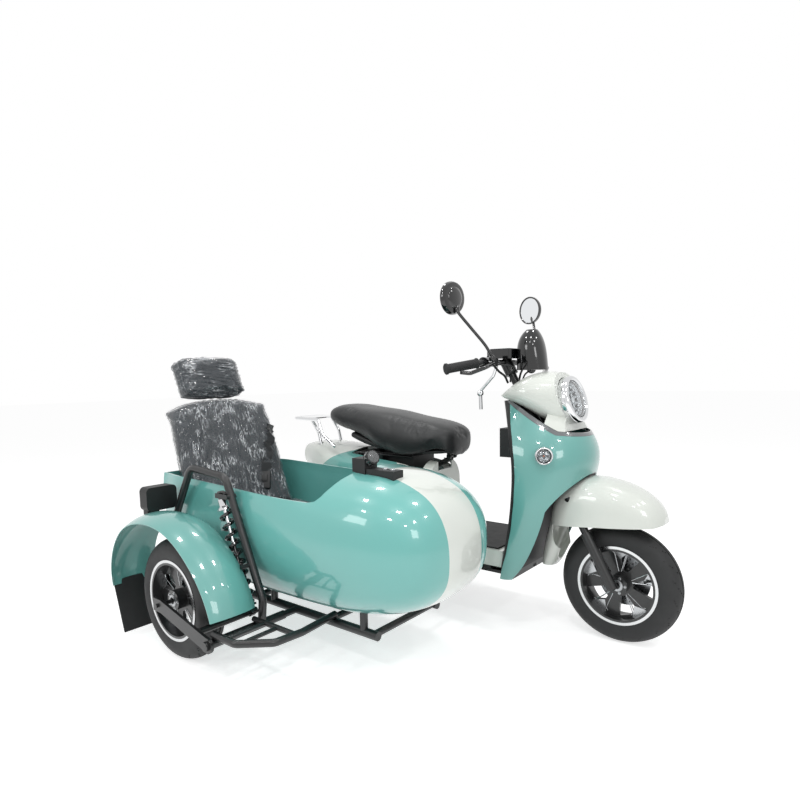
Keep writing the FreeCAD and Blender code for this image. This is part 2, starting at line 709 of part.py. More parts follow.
def make_nacelle():
    """White headlamp nacelle between the shield's top edge and the steering stem."""
    skin = size("skin")
    band = plate_xz([(-520, 930), (-415, 874), (-329, 831), (-249, 785), (-188, 752),
                     (-40, 731), (-40, 500), (-520, 500)], -300, 300)
    tops = []
    for less in (0, skin):
        chin = shield_solid(less).cut(box((-600, -300, 0), (-235, 300, 1200)))
        tops.append(nacelle_solid(less).fuse(chin))
    bezel = tops[0].common(lamp_front(LAMP_DEPTH).cut(lamp_front(LAMP_DEPTH - 8)))
    shell = tops[0].cut(tops[1]).cut(lamp_front(LAMP_DEPTH - 8)).fuse(bezel).cut(band)
    socket = rod(LAMP_CENTRE - LAMP_FACING * (LAMP_DEPTH + 60), LAMP_CENTRE + LAMP_FACING * 40,
                 size("lamp_radius") + size("gap"))
    hole = rod(steer_point(780), steer_point(1000), size("head_radius") + 6)
    shell = shell.cut(hole).cut(socket)
    return max(shell.Solids, key=lambda solid: solid.Volume)


feature("nacelle", make_nacelle())


def make_front_lamps():
    """Round headlamp and the two round indicators."""
    lamp = Part.makeCylinder(size("lamp_radius"), LAMP_DEPTH,
                             LAMP_CENTRE - LAMP_FACING * (LAMP_DEPTH - 4), LAMP_FACING)
    lamp = lamp.makeFillet(6, [e for e in lamp.Edges if len(e.Vertexes) == 1][:1])
    indicator = Part.makeCylinder(32, 30, Vector(-232, -164, 668), Vector(0.5, -0.86, 0.1))
    indicator = indicator.cut(shield_solid(-size("gap")))
    return Part.Compound([lamp, indicator, mirrored(indicator)])


feature("front_lamps", make_front_lamps())


def make_lens_strip():
    """Grey band with the clear lens between nacelle and shield."""
    band = plate_xz([(-415, 865.5), (-329, 815.5), (-249, 769.5), (-191, 738.5), (-50, 722.5),
                     (-50, 731), (-188, 751), (-249, 784), (-329, 830), (-415, 873)],
                    -300, 300)
    skin = shield_solid(0).cut(shield_solid(size("skin")))
    return skin.common(band).cut(nacelle_solid(-size("gap")))


lens_strip = make_lens_strip()
feature("lens_strip", lens_strip)
feature("inner_panel", make_inner_panel())

# ------------------------------------------------------------------------------------- floor
sill_outer = doc.addObject("Part::Box", "sill_outer")
sill_outer.setExpression("Length", "size.floor_back - size.floor_front")
sill_outer.setExpression("Width", "2 * size.floor_half")
sill_outer.setExpression("Height", "size.sill_height")
sill_inner = doc.addObject("Part::Box", "sill_inner")
sill_inner.setExpression("Length", "size.floor_back - size.floor_front - 2 * size.skin")
sill_inner.setExpression("Width", "2 * (size.floor_half - size.skin)")
sill_inner.setExpression("Height", "size.sill_height - size.skin")
sill_inner.setExpression("Placement.Base.x", "size.skin")
sill_inner.setExpression("Placement.Base.y", "size.skin")
floor_sill = doc.addObject("Part::Cut", "floor_sill")
floor_sill.Base, floor_sill.Tool = sill_outer, sill_inner
floor_sill.Placement = Placement(
    Vector(-size("floor_back"), -size("floor_half"), size("floor_height") - size("sill_height")),
    Rotation())
keep(floor_sill, "floor_sill")

mat = doc.addObject("PartDesign::Body", "floor_mat")
mat_sketch = body_sketch(mat, "XY_Plane", "mat_outline")
outline(mat_sketch, [("-size.floor_back + 6", "-size.floor_half + 12"),
                     ("-size.floor_front - 26", "-size.floor_half + 12"),
                     ("-size.floor_front - 26", "size.floor_half - 12"),
                     ("-size.floor_back + 6", "size.floor_half - 12")])
mat_pad = mat.newObject("PartDesign::Pad", "mat_pad")
mat_pad.Profile = mat_sketch
mat_pad.setExpression("Length", "size.mat_thick")
mat.Placement = Placement(Vector(0, 0, size("floor_height")), Rotation())
keep(mat, "floor_mat")

battery = doc.addObject("Part::Box", "battery")
battery.setExpression("Length", "size.battery_length")
battery.setExpression("Width", "size.battery_width")
battery.setExpression("Height", "size.battery_height")
battery.Placement = Placement(Vector(-740, -size("battery_width") / 2,
                                     size("tray_low") + size("tray_thick")), Rotation())
keep(battery, "battery")

# ------------------------------------------------------------------------------ rear body
def make_rear_shell():
    """Rear body skin, open below for the wheel and above under the saddle."""
    shell = rear_solid(0).cut(rear_solid(size("skin")))
    shell = shell.cut(box((-1620, -60, 200), (-1000, 60, 560)))
    shell = shell.cut(box((-1620, -140, 200), (-1000, 140, 470)))
    shell = shell.cut(box((-1190, -116, 540), (-790, 116, 700)))
    shell = shell.cut(box((-800, -50, 556), (-700, 50, 700)))
    shell = shell.cut(box((-1700, -260, 200), (-700, 260, 345)))
    for side in (-70, 70):
        shell = shell.cut(rod(Vector(-1424, side, 590), Vector(-1450, side, 700),
                              size("rack_tube") + 6))
    return shell


def cover_region(grow):
    """Oval region of the side covers as seen from the side."""
    oval = Part.Ellipse(Vector(-1105, 0, 430), 290 + grow, 200 + grow)
    oval.Axis = Vector(0, -1, 0)
    face = Part.Face(Part.Wire([oval.toShape()]))
    prism = face.extrude(Vector(0, 300, 0))
    prism.translate(Vector(0, 62, 0))
    return prism.fuse(mirrored(prism))


rear_shell = make_rear_shell()
feature("side_covers", rear_shell.common(cover_region(0)).cut(main_frame))
feature("rear_cowl", rear_shell.cut(cover_region(size("gap"))).cut(main_frame))


def make_seat_bucket():
    """Storage bucket below the saddle."""
    outer = box((-1160, -76, 446), (-862, 76, 619))
    rim = box((-1175, -112, 612), (-848, 112, 615))
    return outer.fuse(rim).cut(box((-1157, -73, 449), (-865, 73, 640)))


feature("seat_bucket", make_seat_bucket())

tail_lamp = Part.makeLoft([oval_x(-1545, 52, 540, 612), oval_x(-1588, 38, 552, 600)], True)
feature("tail_lamp", tail_lamp.cut(rear_solid(-0.3)))


def make_saddle():
    """Long padded saddle whose sides hang over the pan: a simple closed form."""
    rings = []
    for x, share, low, high in ((-655, 0.45, 640, 722), (-690, 0.80, 620, 742),
                                (-800, 0.95, 600, 768), (-885, 1.0, 594, 780),
                                (-950, 1.0, 602, 792), (-1120, 1.0, 668, 812),
                                (-1250, 0.98, 716, 826), (-1325, 0.86, 742, 822),
                                (-1348, 0.55, 762, 802)):
        rings.append(oval_x(x, size("saddle_half") * share, low, high, power=3.1))
    hollow = plate_xz([(-684, 500), (-684, 652), (-800, 648), (-950, 652), (-1120, 694),
                       (-1200, 712), (-1240, 722), (-1240, 500)], -118, 118)
    return Part.makeLoft(rings, True).cut(hollow).cut(rear_solid(-8))


saddle_shape = make_saddle()
feature("saddle", saddle_shape)
pan = []
for x, share, low, high in ((-686, 0.55, 636, 652), (-800, 0.82, 626, 648),
                            (-950, 0.83, 628, 652), (-1120, 0.83, 652, 694),
                            (-1190, 0.80, 676, 710)):
    pan.append(oval_x(x, size("saddle_half") * share, low, high, power=3.2))
pan_shape = Part.makeLoft(pan, True)
for low_y in (-24, 14):
    lug = rod(Vector(-size("hinge_back"), low_y, size("hinge_height")),
              Vector(-size("hinge_back"), low_y + 10, size("hinge_height")),
              size("hinge_radius") + 5)
    pan_shape = pan_shape.fuse(lug).fuse(box(
        (-size("hinge_back") - 9, low_y, size("hinge_height") + 4),
        (-size("hinge_back") + 9, low_y + 10, 655)))
pin = rod(Vector(-size("hinge_back"), -60, size("hinge_height")),
          Vector(-size("hinge_back"), 60, size("hinge_height")),
          size("hinge_radius") + size("running_gap"))
arm_room = box((-size("hinge_back") - 60, -13, 560), (-size("hinge_back") + 30, 13, 632))
feature("saddle_pan", pan_shape.cut(saddle_shape).cut(pin).cut(arm_room))


def make_rack():
    """Luggage rack: a loop of tube around the saddle's tail and a drilled plate."""
    height = size("rack_height")
    radius = size("rack_tube")
    half = size("rack_plate_width") / 2
    wide = size("saddle_half") + size("rack_clear")
    side = [(-1250, -wide, 640), (-1330, -wide, 690), (-1400, -half - 24, height - 6),
            (-1610, -half + 20, height - 6)]
    left = [(x, -y, z) for x, y, z in side]
    loop = tube(side + list(reversed(left)), radius, 18)
    back = size("rack_plate_length")
    plate = box((-1440 - back, -half, height - 3), (-1440, half, height + 2))
    pieces = [loop, plate]
    centre = Vector(-1440 - back / 2, 0, height)
    drilled = fuse(pieces)
    for sx in (-0.5, 0.5):
        for sy in (-0.5, 0.5):
            hole = Part.makeCylinder(size("rack_hole_radius"), 60,
                                     centre + Vector(sx * size("rack_hole_x"),
                                                     sy * size("rack_hole_y"), -30))
            drilled = drilled.cut(hole)
    for side_y in (-70, 70):
        strut = tube([(-1430, side_y, 612.2), (-1450, side_y, 690), (-1500, side_y, height - 6)],
                     radius, 20)
        drilled = drilled.fuse(strut)
    return drilled.cut(rear_solid(-size("gap"))).fuse(
        drilled.common(box((-1480, -90, 598), (-1400, 90, 700)))).removeSplitter()


feature("luggage_rack", make_rack())


def make_rear_arm():
    """Rear swing arm: pivot tube, two blades and the fixed axle with its nuts."""
    half = size("arm_half")
    pieces = [rod(Vector(-880, -half - 4, 330), Vector(-880, half + 4, 330), 26)]
    for side in (-half, half):
        pieces.append(tube([(-880, side, 330), (-1000, side, 250), tuple(REAR_AXLE
                      + Vector(-20, side, 0))], 14, 60))
    pieces.append(rod(REAR_AXLE + Vector(0, -half - 20, 0), REAR_AXLE + Vector(0, half + 20, 0),
                      size("axle_radius")))
    core = rod(Vector(-880, -half - 20, 330), Vector(-880, half + 20, 330),
               20 + size("running_gap"))
    for side in (-1, 1):
        pieces.append(rod(Vector(-1250, side * half, 228), Vector(-1250, side * 126, 228), 8))
    return fuse(pieces).cut(core)


feature("rear_arm", make_rear_arm())


def make_rear_fender():
    """Inner fender over the rear wheel with the bare plate holder behind it."""
    centre = REAR_AXLE
    ring = Part.makeCylinder(252, 130, centre + Vector(0, -65, 0), Vector(0, 1, 0))
    ring = ring.cut(Part.makeCylinder(249, 140, centre + Vector(0, -70, 0), Vector(0, 1, 0)))
    keep_part = plate_xz([(-1560, 300), (-1270, 210), (-1120, 480), (-1250, 620), (-1700, 620),
                          (-1700, 300)], -100, 100)
    arch = ring.common(keep_part)
    plate = box((-1560, -80, 330), (-1556, 80, 470))
    stay = box((-1558, -20, 372), (-1456, 20, 378))
    strap = box((-1436, -20, 400), (-1424, 20, 588))
    return fuse([arch, stay, plate, strap]).cut(rod(
        Vector(-1430, -60, 599), Vector(-1430, 60, 599), 12))


feature("rear_fender", make_rear_fender())


# ----------------------------------------------------------------------------------- sidecar
def make_tub():
    """Sidecar body: a hollow egg with a closed nose and an open cockpit."""
    rim = size("tub_rim")
    above = plate_xz([(-1700, rim + 9), (-1420, rim + 9), (-1000, rim - 4), (-700, rim - 15),
                      (-672, rim - 9), (-656, rim + 6), (-642, rim + 32), (-630, rim + 62),
                      (-618, rim + 95), (-618, rim + 200), (-1700, rim + 200)], -1000, -200)
    shell = tub_solid(0).cut(tub_solid(size("tub_skin"))).cut(above)
    centre = -size("tub_centre")
    risers = [box((-1380, centre + y - 20, 168), (-960, centre + y + 20, 322))
              for y in (-150, 150)]
    floor = tub_solid(size("tub_skin") - 1)
    return shell.multiFuse([r.common(floor) for r in risers])


feature("sidecar_body", make_tub())


def padded_block(label, half, length, thick, radius):
    """Cushion: a padded block drawn about its own middle as a body with rounded edges."""
    body = doc.addObject("PartDesign::Body", label)
    sketch = body_sketch(body, "XY_Plane", label + "_outline")
    outline(sketch, [("-%s / 2" % length, "-(%s)" % half), ("%s / 2" % length, "-(%s)" % half),
                     ("%s / 2" % length, half), ("-%s / 2" % length, half)])
    pad = body.newObject("PartDesign::Pad", label + "_pad")
    pad.Profile = sketch
    pad.Midplane = True
    pad.Length = thick
    doc.recompute()
    round_over = body.newObject("PartDesign::Fillet", label + "_round")
    round_over.Base = (pad, ["Edge%d" % (i + 1) for i in range(len(pad.Shape.Edges))])
    round_over.Radius = radius
    body.Tip = round_over
    return body


cushion = padded_block("seat_cushion", "size.seat_half", "450", 110, 12)
cushion.Placement = Placement(Vector(-1075, -size("tub_centre") - 10, 377.3), Rotation())
keep(cushion, "seat_cushion")
lean = Rotation(Vector(0, 1, 0), -size("seat_lean"))
backrest = padded_block("seat_backrest", "size.seat_half", "110", size("backrest_length"), 12)
BACK_MIDDLE = Vector(-1438, -size("tub_centre") - 10, 630)
backrest.Placement = Placement(BACK_MIDDLE, lean)
keep(backrest, "seat_backrest")
headrest = padded_block("headrest", "size.headrest_half", "96", size("headrest_length"), 12)
up_back = lean.multVec(Vector(0, 0, 1))
headrest.Placement = Placement(BACK_MIDDLE + Vector(0, -8, 0) + up_back * (
    size("backrest_length") / 2 + size("headrest_length") / 2), lean)
keep(headrest, "headrest")


def make_control_box():
    """Small console on the cowl: round lamp with a faceted glass and a switch strip."""
    base = box((-640, -690, 620), (-585, -630, 694))
    strip = box((-595, -686, 600), (-470, -638, 662))
    knob = Part.makeCylinder(24, 22, Vector(-590, -660, 690), Vector(0.9, -0.2, 0.45))
    console = fuse([base, strip, knob]).cut(tub_solid(-size("gap")))
    return max(console.Solids, key=lambda solid: solid.Volume)


feature("control_box", make_control_box())


GUARD = [(-845, 222), (-892, 318), (-978, 410), (-1085, 475), (-1205, 500), (-1310, 492),
         (-1408, 455), (-1486, 378), (-1524, 280), (-1518, 196)]


def make_guard():
    """Fender over the sidecar wheel: one arched section swept along the crown line."""
    half = size("guard_width") / 2
    thick = size("guard_thick")
    crown = 27
    line = Part.BSplineCurve()
    line.interpolate([Vector(x, -size("track"), z) for x, z in GUARD])
    start = line.value(line.FirstParameter)
    along = line.tangent(line.FirstParameter)[0]
    out = Vector(0, 1, 0).cross(along).normalize()
    if out.dot(start - Vector(-1180, -size("track"), 200)) < 0:
        out = -out
    wide = Vector(0, half, 0)
    outer = [start - out * crown - wide, start, start - out * crown + wide]
    inner = [outer[2] - out * thick, start - out * thick, outer[0] - out * thick]
    section = Part.Wire([
        Part.Arc(*outer).toShape(), Part.LineSegment(outer[2], inner[0]).toShape(),
        Part.Arc(*inner).toShape(), Part.LineSegment(inner[2], outer[0]).toShape()])
    sweep = Part.BRepOffsetAPI.MakePipeShell(Part.Wire([line.toShape()]))
    sweep.setBiNormalMode(Vector(0, 1, 0))
    sweep.add(section)
    sweep.build()
    sweep.makeSolid()
    return sweep.shape()


guard_shape = make_guard()


def make_sidecar_frame():
    """Sidecar chassis: rails under the body, links to the scooter and the tall side hoop."""
    z = size("rail_height")
    radius = size("rail_radius")
    centre = size("tub_centre")
    near, far = -centre - 160, -centre + 160
    pieces = []
    for side in (near, far):
        pieces.append(tube([(-500, side, z), (-1480, side, z)], radius))
    thin = radius - 3
    for x in (-520, -720, -1100, -1460):
        pieces.append(rod(Vector(x, near, z), Vector(x, far, z), thin))
    for x in (-560, -800):
        pieces.append(rod(Vector(x, far, z), Vector(x, -130, z), thin))
        pieces.append(rod(Vector(x, -150, z), Vector(x, -150, size("tray_low")), thin - 3))
    pieces.append(rod(Vector(-960, far, z), Vector(-884, -size("frame_half") - 14, 322),
                      thin - 2))
    pieces.append(rod(Vector(-880, near, z), Vector(-880, -size("arm_side"), z), thin))
    pieces.append(rod(Vector(-880, near - 60, z), Vector(-880, -size("arm_side") - 14, z),
                      radius))
    pieces.append(rod(Vector(-1016, -917, 560), Vector(-1016, -878, 560), 8))
    pieces.append(rod(Vector(-1068, -917, 560), Vector(-1068, -878, 560), 8))
    for y in (-917, -882):
        pieces.append(box((-1076, y, 552), (-1010, y + 4, 568)))
    for x, high in ((-1359, 462), (-922, 340)):
        pieces.append(rod(Vector(x, -size("hoop_side"), high), Vector(x, -935, high), 7))
    body = tub_solid(-size("gap") / 3)
    for x in (-560, -1000, -1420):
        for side in (near, far):
            pieces.append(rod(Vector(x, side, z), Vector(x, side, 240), 13).cut(body))
    pieces.append(rod(Vector(-1400, near, z), Vector(-1400, -size("hoop_side") - 14, z), thin))
    hoop_y = -size("hoop_side")
    hoop = tube([(-880, hoop_y, z), (-870, hoop_y, z + 84), (-1045, hoop_y, 622),
                 (-1255, hoop_y, 640), (-1400, hoop_y, 400), (-1400, hoop_y, z)],
                size("hoop_radius"), 45)
    pieces.append(hoop)
    return fuse(pieces).cut(guard_shape)


feature("sidecar_frame", make_sidecar_frame())


feature("sidecar_fender", guard_shape)


def make_fender_lamp():
    """Twin tail lamps in one rounded housing on the rear of the fender's crown."""
    middle = -size("track") + 66
    housing = box((-1428, middle - 60, 478), (-1378, middle + 60, 566))
    housing = housing.makeFillet(18, [e for e in housing.Edges if abs(e.Length - 50) < 0.1])
    base = box((-1422, middle - 52, 430), (-1392, middle - 6, 490))
    seat = guard_shape.translated(Vector(-size("gap"), 0, size("gap")))
    lamp = housing.fuse(base).cut(guard_shape).cut(seat)
    return max(lamp.Solids, key=lambda solid: solid.Volume)


feature("fender_lamp", make_fender_lamp())

flap = plate_xz([(-1520, 215), (-1514, 215), (-1452, 30), (-1458, 30)],
                -size("track") - 70, -size("track") + 70)
feature("mud_flap", flap.cut(guard_shape))


SHOCK_TOP = Vector(-1068, -897, 560)
SHOCK_FOOT = Vector(-930, -897, 176)


def make_side_arm():
    """Swing arm outside the sidecar wheel with the stub axle."""
    side = -size("arm_side")
    pivot_z = size("rail_height")
    arm = plate_xz([(-1185, 190), (-1185, 232), (-1140, 232), (-870, pivot_z + 22),
                    (-866, pivot_z), (-885, pivot_z - 22), (-1140, 188)], side - 5, side + 5)
    arm = arm.fuse(rod(Vector(-930, side + 4, SHOCK_FOOT.z), Vector(-930, -876, SHOCK_FOOT.z),
                       11))
    stub = rod(Vector(SIDE_AXLE.x, side - 12, SIDE_AXLE.z),
               Vector(SIDE_AXLE.x, -size("track") + 60, SIDE_AXLE.z), size("axle_radius"))
    pivot = rod(Vector(-880, side - 20, size("rail_height")),
                Vector(-880, side + 20, size("rail_height")), size("rail_radius") + 0.05)
    eye = rod(Vector(-880, side - 5, size("rail_height")),
              Vector(-880, side + 5, size("rail_height")), size("rail_radius") + 10)
    return arm.fuse(stub).fuse(eye).removeSplitter().cut(pivot)


feature("sidecar_arm", make_side_arm())


def make_shock(top, foot, radius):
    """Spring and damper between two points."""
    axis = (foot - top).normalize()
    length = (foot - top).Length
    spring = rod(top + axis * 22, foot - axis * 22, radius)
    return spring.fuse(rod(top, foot, 10))


rear_shock = make_shock(Vector(-1330, 118, 580), Vector(-1250, 118, 228),
                        size("shock_radius"))
for x, z in ((-1330, 580), (-1250, 228)):
    rear_shock = rear_shock.fuse(rod(Vector(x, 109, z), Vector(x, 126, z), 14)).cut(
        rod(Vector(x, 60, z), Vector(x, 140, z), 8.05))
side_shock = make_shock(SHOCK_TOP, SHOCK_FOOT, size("side_shock_radius"))
for spot, pin in ((SHOCK_TOP, 8.05), (SHOCK_FOOT, 11.05)):
    side_shock = side_shock.fuse(rod(spot - Vector(0, 10, 0), spot + Vector(0, 10, 0),
                                     pin + 6)).cut(
        rod(spot - Vector(0, 60, 0), spot + Vector(0, 60, 0), pin))
feature("shock_absorbers", Part.Compound([rear_shock, mirrored(rear_shock), side_shock]))


def make_step_frame():
    """Looped foot step of tube ahead of the sidecar wheel."""
    z = size("rail_height") + size("rail_radius") + 12
    outer = -size("arm_side") + 22
    loop = tube([(-880, outer, z), (-770, outer, z), (-682, outer + 76, z),
                 (-672, -900, z), (-690, -740, z)], 12, 28)
    bars = [rod(Vector(x, outer, z), Vector(x, -925, z), 7) for x in (-760, -820)]
    across = rod(Vector(-880, -925, z), Vector(-676, -925, z), 9)
    return fuse([loop, across] + bars)


feature("step_frame", make_step_frame())

# ------------------------------------------------------------------------------ check, write
doc.recompute()
for item in doc.Objects:
    if "Invalid" in item.State or "Error" in item.State:
        raise RuntimeError("failed object: " + item.Name)
outer_box = FreeCAD.BoundBox()
for piece in SUBPARTS:
    shape = piece.Shape
    if shape.isNull() or not shape.isValid():
        raise RuntimeError("bad shape: " + piece.Label)
    outer_box.add(shape.BoundBox)
    shape.exportStep("parts/%s.step" % piece.Label)
print("sub-parts", len(SUBPARTS), "box", outer_box)
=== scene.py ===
"""Retro electric scooter with a single-seat sidecar on its right.

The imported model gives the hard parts.  This script dresses them, adds the tread, glass,
springs, trim and padding that they leave out, and sets up the floor, light and camera.
Lengths are metres, X forward, Y to the rider's left, Z up.
"""
from __future__ import annotations

import logging
import math
from dataclasses import dataclass, field
from enum import Enum
from functools import lru_cache
from typing import Callable, Sequence

import bmesh
import bpy
from mathutils import Matrix, Vector, noise


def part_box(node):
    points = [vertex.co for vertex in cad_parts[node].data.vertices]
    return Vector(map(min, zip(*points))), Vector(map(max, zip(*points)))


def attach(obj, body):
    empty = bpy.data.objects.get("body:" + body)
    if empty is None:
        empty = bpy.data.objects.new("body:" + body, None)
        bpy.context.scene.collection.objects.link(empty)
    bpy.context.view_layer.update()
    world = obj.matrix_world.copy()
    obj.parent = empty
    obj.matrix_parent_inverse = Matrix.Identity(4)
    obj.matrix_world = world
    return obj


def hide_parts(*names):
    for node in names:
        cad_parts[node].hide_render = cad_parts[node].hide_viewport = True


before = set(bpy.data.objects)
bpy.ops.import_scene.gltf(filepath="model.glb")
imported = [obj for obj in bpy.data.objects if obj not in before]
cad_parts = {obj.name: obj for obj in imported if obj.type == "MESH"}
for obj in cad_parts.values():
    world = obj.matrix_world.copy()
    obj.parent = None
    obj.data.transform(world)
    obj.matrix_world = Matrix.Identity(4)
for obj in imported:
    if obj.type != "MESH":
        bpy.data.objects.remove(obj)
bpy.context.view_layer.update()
LOG = logging.getLogger("tricycle")
MM = 0.001
TURN = 2 * math.pi
Point = tuple[float, float, float]


class Body(str, Enum):
    """Bodies of the vehicle that pieces ride on."""

    FRAME = "frame"
    STEERING = "steering"
    FRONT_WHEEL = "front_wheel"
    REAR_WHEEL = "rear_wheel"
    SIDECAR_WHEEL = "sidecar_wheel"
    SADDLE = "saddle"


class Pattern(Enum):
    """Relief patterns that a finish can carry."""

    GRAIN = "fine random grain"
    PEBBLE = "closed cells, as on vinyl"
    WEAVE = "crossed threads"
    RINGS = "turned rings about the Y axis"
    WAVE = "long shallow ripples"


# ------------------------------------------------------------------------------- node tools
def linear(code: str) -> tuple[float, float, float, float]:
    """Turn an sRGB hex colour to linear light.

    Args:
        code: six hex digits.
    Returns:
        Red, green, blue and an alpha of 1.
    """
    parts = [int(code[i : i + 2], 16) / 255 for i in (0, 2, 4)]
    red, green, blue = (p / 12.92 if p <= 0.04045 else ((p + 0.055) / 1.055) ** 2.4 for p in parts)
    return red, green, blue, 1.0


def add_node(tree: bpy.types.NodeTree, kind: str, settings: dict | None = None,
             links: dict | None = None) -> bpy.types.Node:
    """Add one node with its settings and links.

    Args:
        tree: the material's node tree.
        kind: the node's type name.
        settings: values by input name or index, or by attribute name.
        links: output sockets by input name or index.
    Returns:
        The new node.
    """
    node = tree.nodes.new(kind)
    for key, value in (settings or {}).items():
        if isinstance(key, int) or (key in node.inputs and not hasattr(node, key)):
            node.inputs[key].default_value = value
        else:
            setattr(node, key, value)
    for key, socket in (links or {}).items():
        tree.links.new(socket, node.inputs[key])
    return node


@dataclass(frozen=True)
class Finish:
    """A surface: its colour, gloss and relief, all on Object coordinates.

    `drift` is how far the colour wanders towards `shade` over `drift_mm`; `relief_mm` is the
    depth of a pattern whose cells are `cell_mm` wide.
    """

    label: str
    colour: str
    shade: str
    roughness: float
    metallic: float = 0.0
    ior: float = 1.5
    coat: float = 0.0
    coat_roughness: float = 0.03
    sheen: float = 0.0
    drift_mm: float = 150.0
    drift: float = 0.5
    pattern: Pattern = Pattern.GRAIN
    cell_mm: float = 1.2
    relief_mm: float = 0.05
    spread: float = 0.05
    alpha: float = 1.0
    transmission: float = 0.0
    glow: float = 0.0
    centre: Point = (0.0, 0.0, 0.0)

    def coords(self, tree: bpy.types.NodeTree) -> bpy.types.NodeSocket:
        """Object coordinates about the finish's centre."""
        source = add_node(tree, "ShaderNodeTexCoord").outputs["Object"]
        shifted = add_node(tree, "ShaderNodeMapping",
                           {"Location": tuple(-value for value in self.centre)},
                           {"Vector": source})
        return shifted.outputs["Vector"]

    def colour_socket(self, tree: bpy.types.NodeTree,
                      place: bpy.types.NodeSocket) -> bpy.types.NodeSocket:
        """Colour that drifts a little from place to place.

        Args:
            tree: the material's node tree.
            place: the coordinates.
        Returns:
            The colour socket.
        """
        cloud = add_node(tree, "ShaderNodeTexNoise",
                         {"Scale": 1000 / self.drift_mm, "Detail": 4.0, "Roughness": 0.55},
                         {"Vector": place})
        amount = add_node(tree, "ShaderNodeMapRange",
                          {"From Min": 0.35, "From Max": 0.7, "To Max": self.drift},
                          {"Value": cloud.outputs[0]})
        mix = add_node(tree, "ShaderNodeMix",
                       {"data_type": "RGBA", 6: linear(self.colour), 7: linear(self.shade)},
                       {0: amount.outputs[0]})
        return mix.outputs[2]

    def roughness_socket(self, tree: bpy.types.NodeTree,
                         place: bpy.types.NodeSocket) -> bpy.types.NodeSocket:
        """Roughness that handling and dust vary.

        Args:
            tree: the material's node tree.
            place: the coordinates.
        Returns:
            The roughness socket.
        """
        smear = add_node(tree, "ShaderNodeTexNoise",
                         {"Scale": 3000 / self.drift_mm, "Detail": 3.0}, {"Vector": place})
        level = add_node(tree, "ShaderNodeMapRange",
                         {"To Min": max(self.roughness - self.spread, 0.0),
                          "To Max": min(self.roughness + self.spread, 1.0)},
                         {"Value": smear.outputs[0]})
        return level.outputs[0]

    def height_socket(self, tree: bpy.types.NodeTree,
                      place: bpy.types.NodeSocket) -> bpy.types.NodeSocket:
        """Height of the relief, 0 to 1.

        Args:
            tree: the material's node tree.
            place: the coordinates.
        Returns:
            The height socket.
        """
        scale = 1000 / self.cell_mm
        if self.pattern is Pattern.PEBBLE:
            cells = add_node(tree, "ShaderNodeTexVoronoi",
                             {"feature": "SMOOTH_F1", "Scale": scale, "Smoothness": 0.6},
                             {"Vector": place})
            return cells.outputs[0]
        if self.pattern is Pattern.WEAVE:
            threads = [add_node(tree, "ShaderNodeTexWave",
                                {"bands_direction": way, "Scale": scale / 3.2,
                                 "Distortion": 0.6, "Detail": 1.0}, {"Vector": place})
                       for way in ("Y", "DIAGONAL")]
            both = add_node(tree, "ShaderNodeMath", {"operation": "MULTIPLY"},
                            {0: threads[0].outputs[1], 1: threads[1].outputs[1]})
            return both.outputs[0]
        if self.pattern is Pattern.RINGS:
            flat = add_node(tree, "ShaderNodeVectorMath",
                            {"operation": "MULTIPLY", 1: (1.0, 0.0, 1.0)}, {0: place})
            reach = add_node(tree, "ShaderNodeVectorMath", {"operation": "LENGTH"},
                             {0: flat.outputs[0]})
            lines = add_node(tree, "ShaderNodeTexNoise",
                             {"noise_dimensions": "1D", "Scale": scale, "Detail": 1.0},
                             {"W": reach.outputs["Value"]})
            return lines.outputs[0]
        ripple = add_node(tree, "ShaderNodeTexNoise",
                          {"Scale": scale, "Detail": 1.0 if self.pattern is Pattern.WAVE else 5.0},
                          {"Vector": place})
        return ripple.outputs[0]

    def build(self) -> bpy.types.Material:
        """Make the material.

        Returns:
            The material, with the finish's name.
        """
        material = bpy.data.materials.new(self.label)
        material.use_nodes = True
        tree = material.node_tree
        tree.nodes.clear()
        place = self.coords(tree)
        relief = add_node(tree, "ShaderNodeBump",
                          {"Strength": 0.6, "Distance": self.relief_mm * MM},
                          {"Height": self.height_socket(tree, place)})
        shader = add_node(
            tree, "ShaderNodeBsdfPrincipled",
            {"Metallic": self.metallic, "IOR": self.ior, "Coat Weight": self.coat,
             "Coat Roughness": self.coat_roughness, "Sheen Weight": self.sheen,
             "Alpha": self.alpha, "Transmission Weight": self.transmission,
             "Emission Strength": self.glow, "Emission Color": linear(self.colour)},
            {"Base Color": self.colour_socket(tree, place),
             "Roughness": self.roughness_socket(tree, place),
             "Normal": relief.outputs[0]})
        add_node(tree, "ShaderNodeOutputMaterial", None, {"Surface": shader.outputs[0]})
        return material


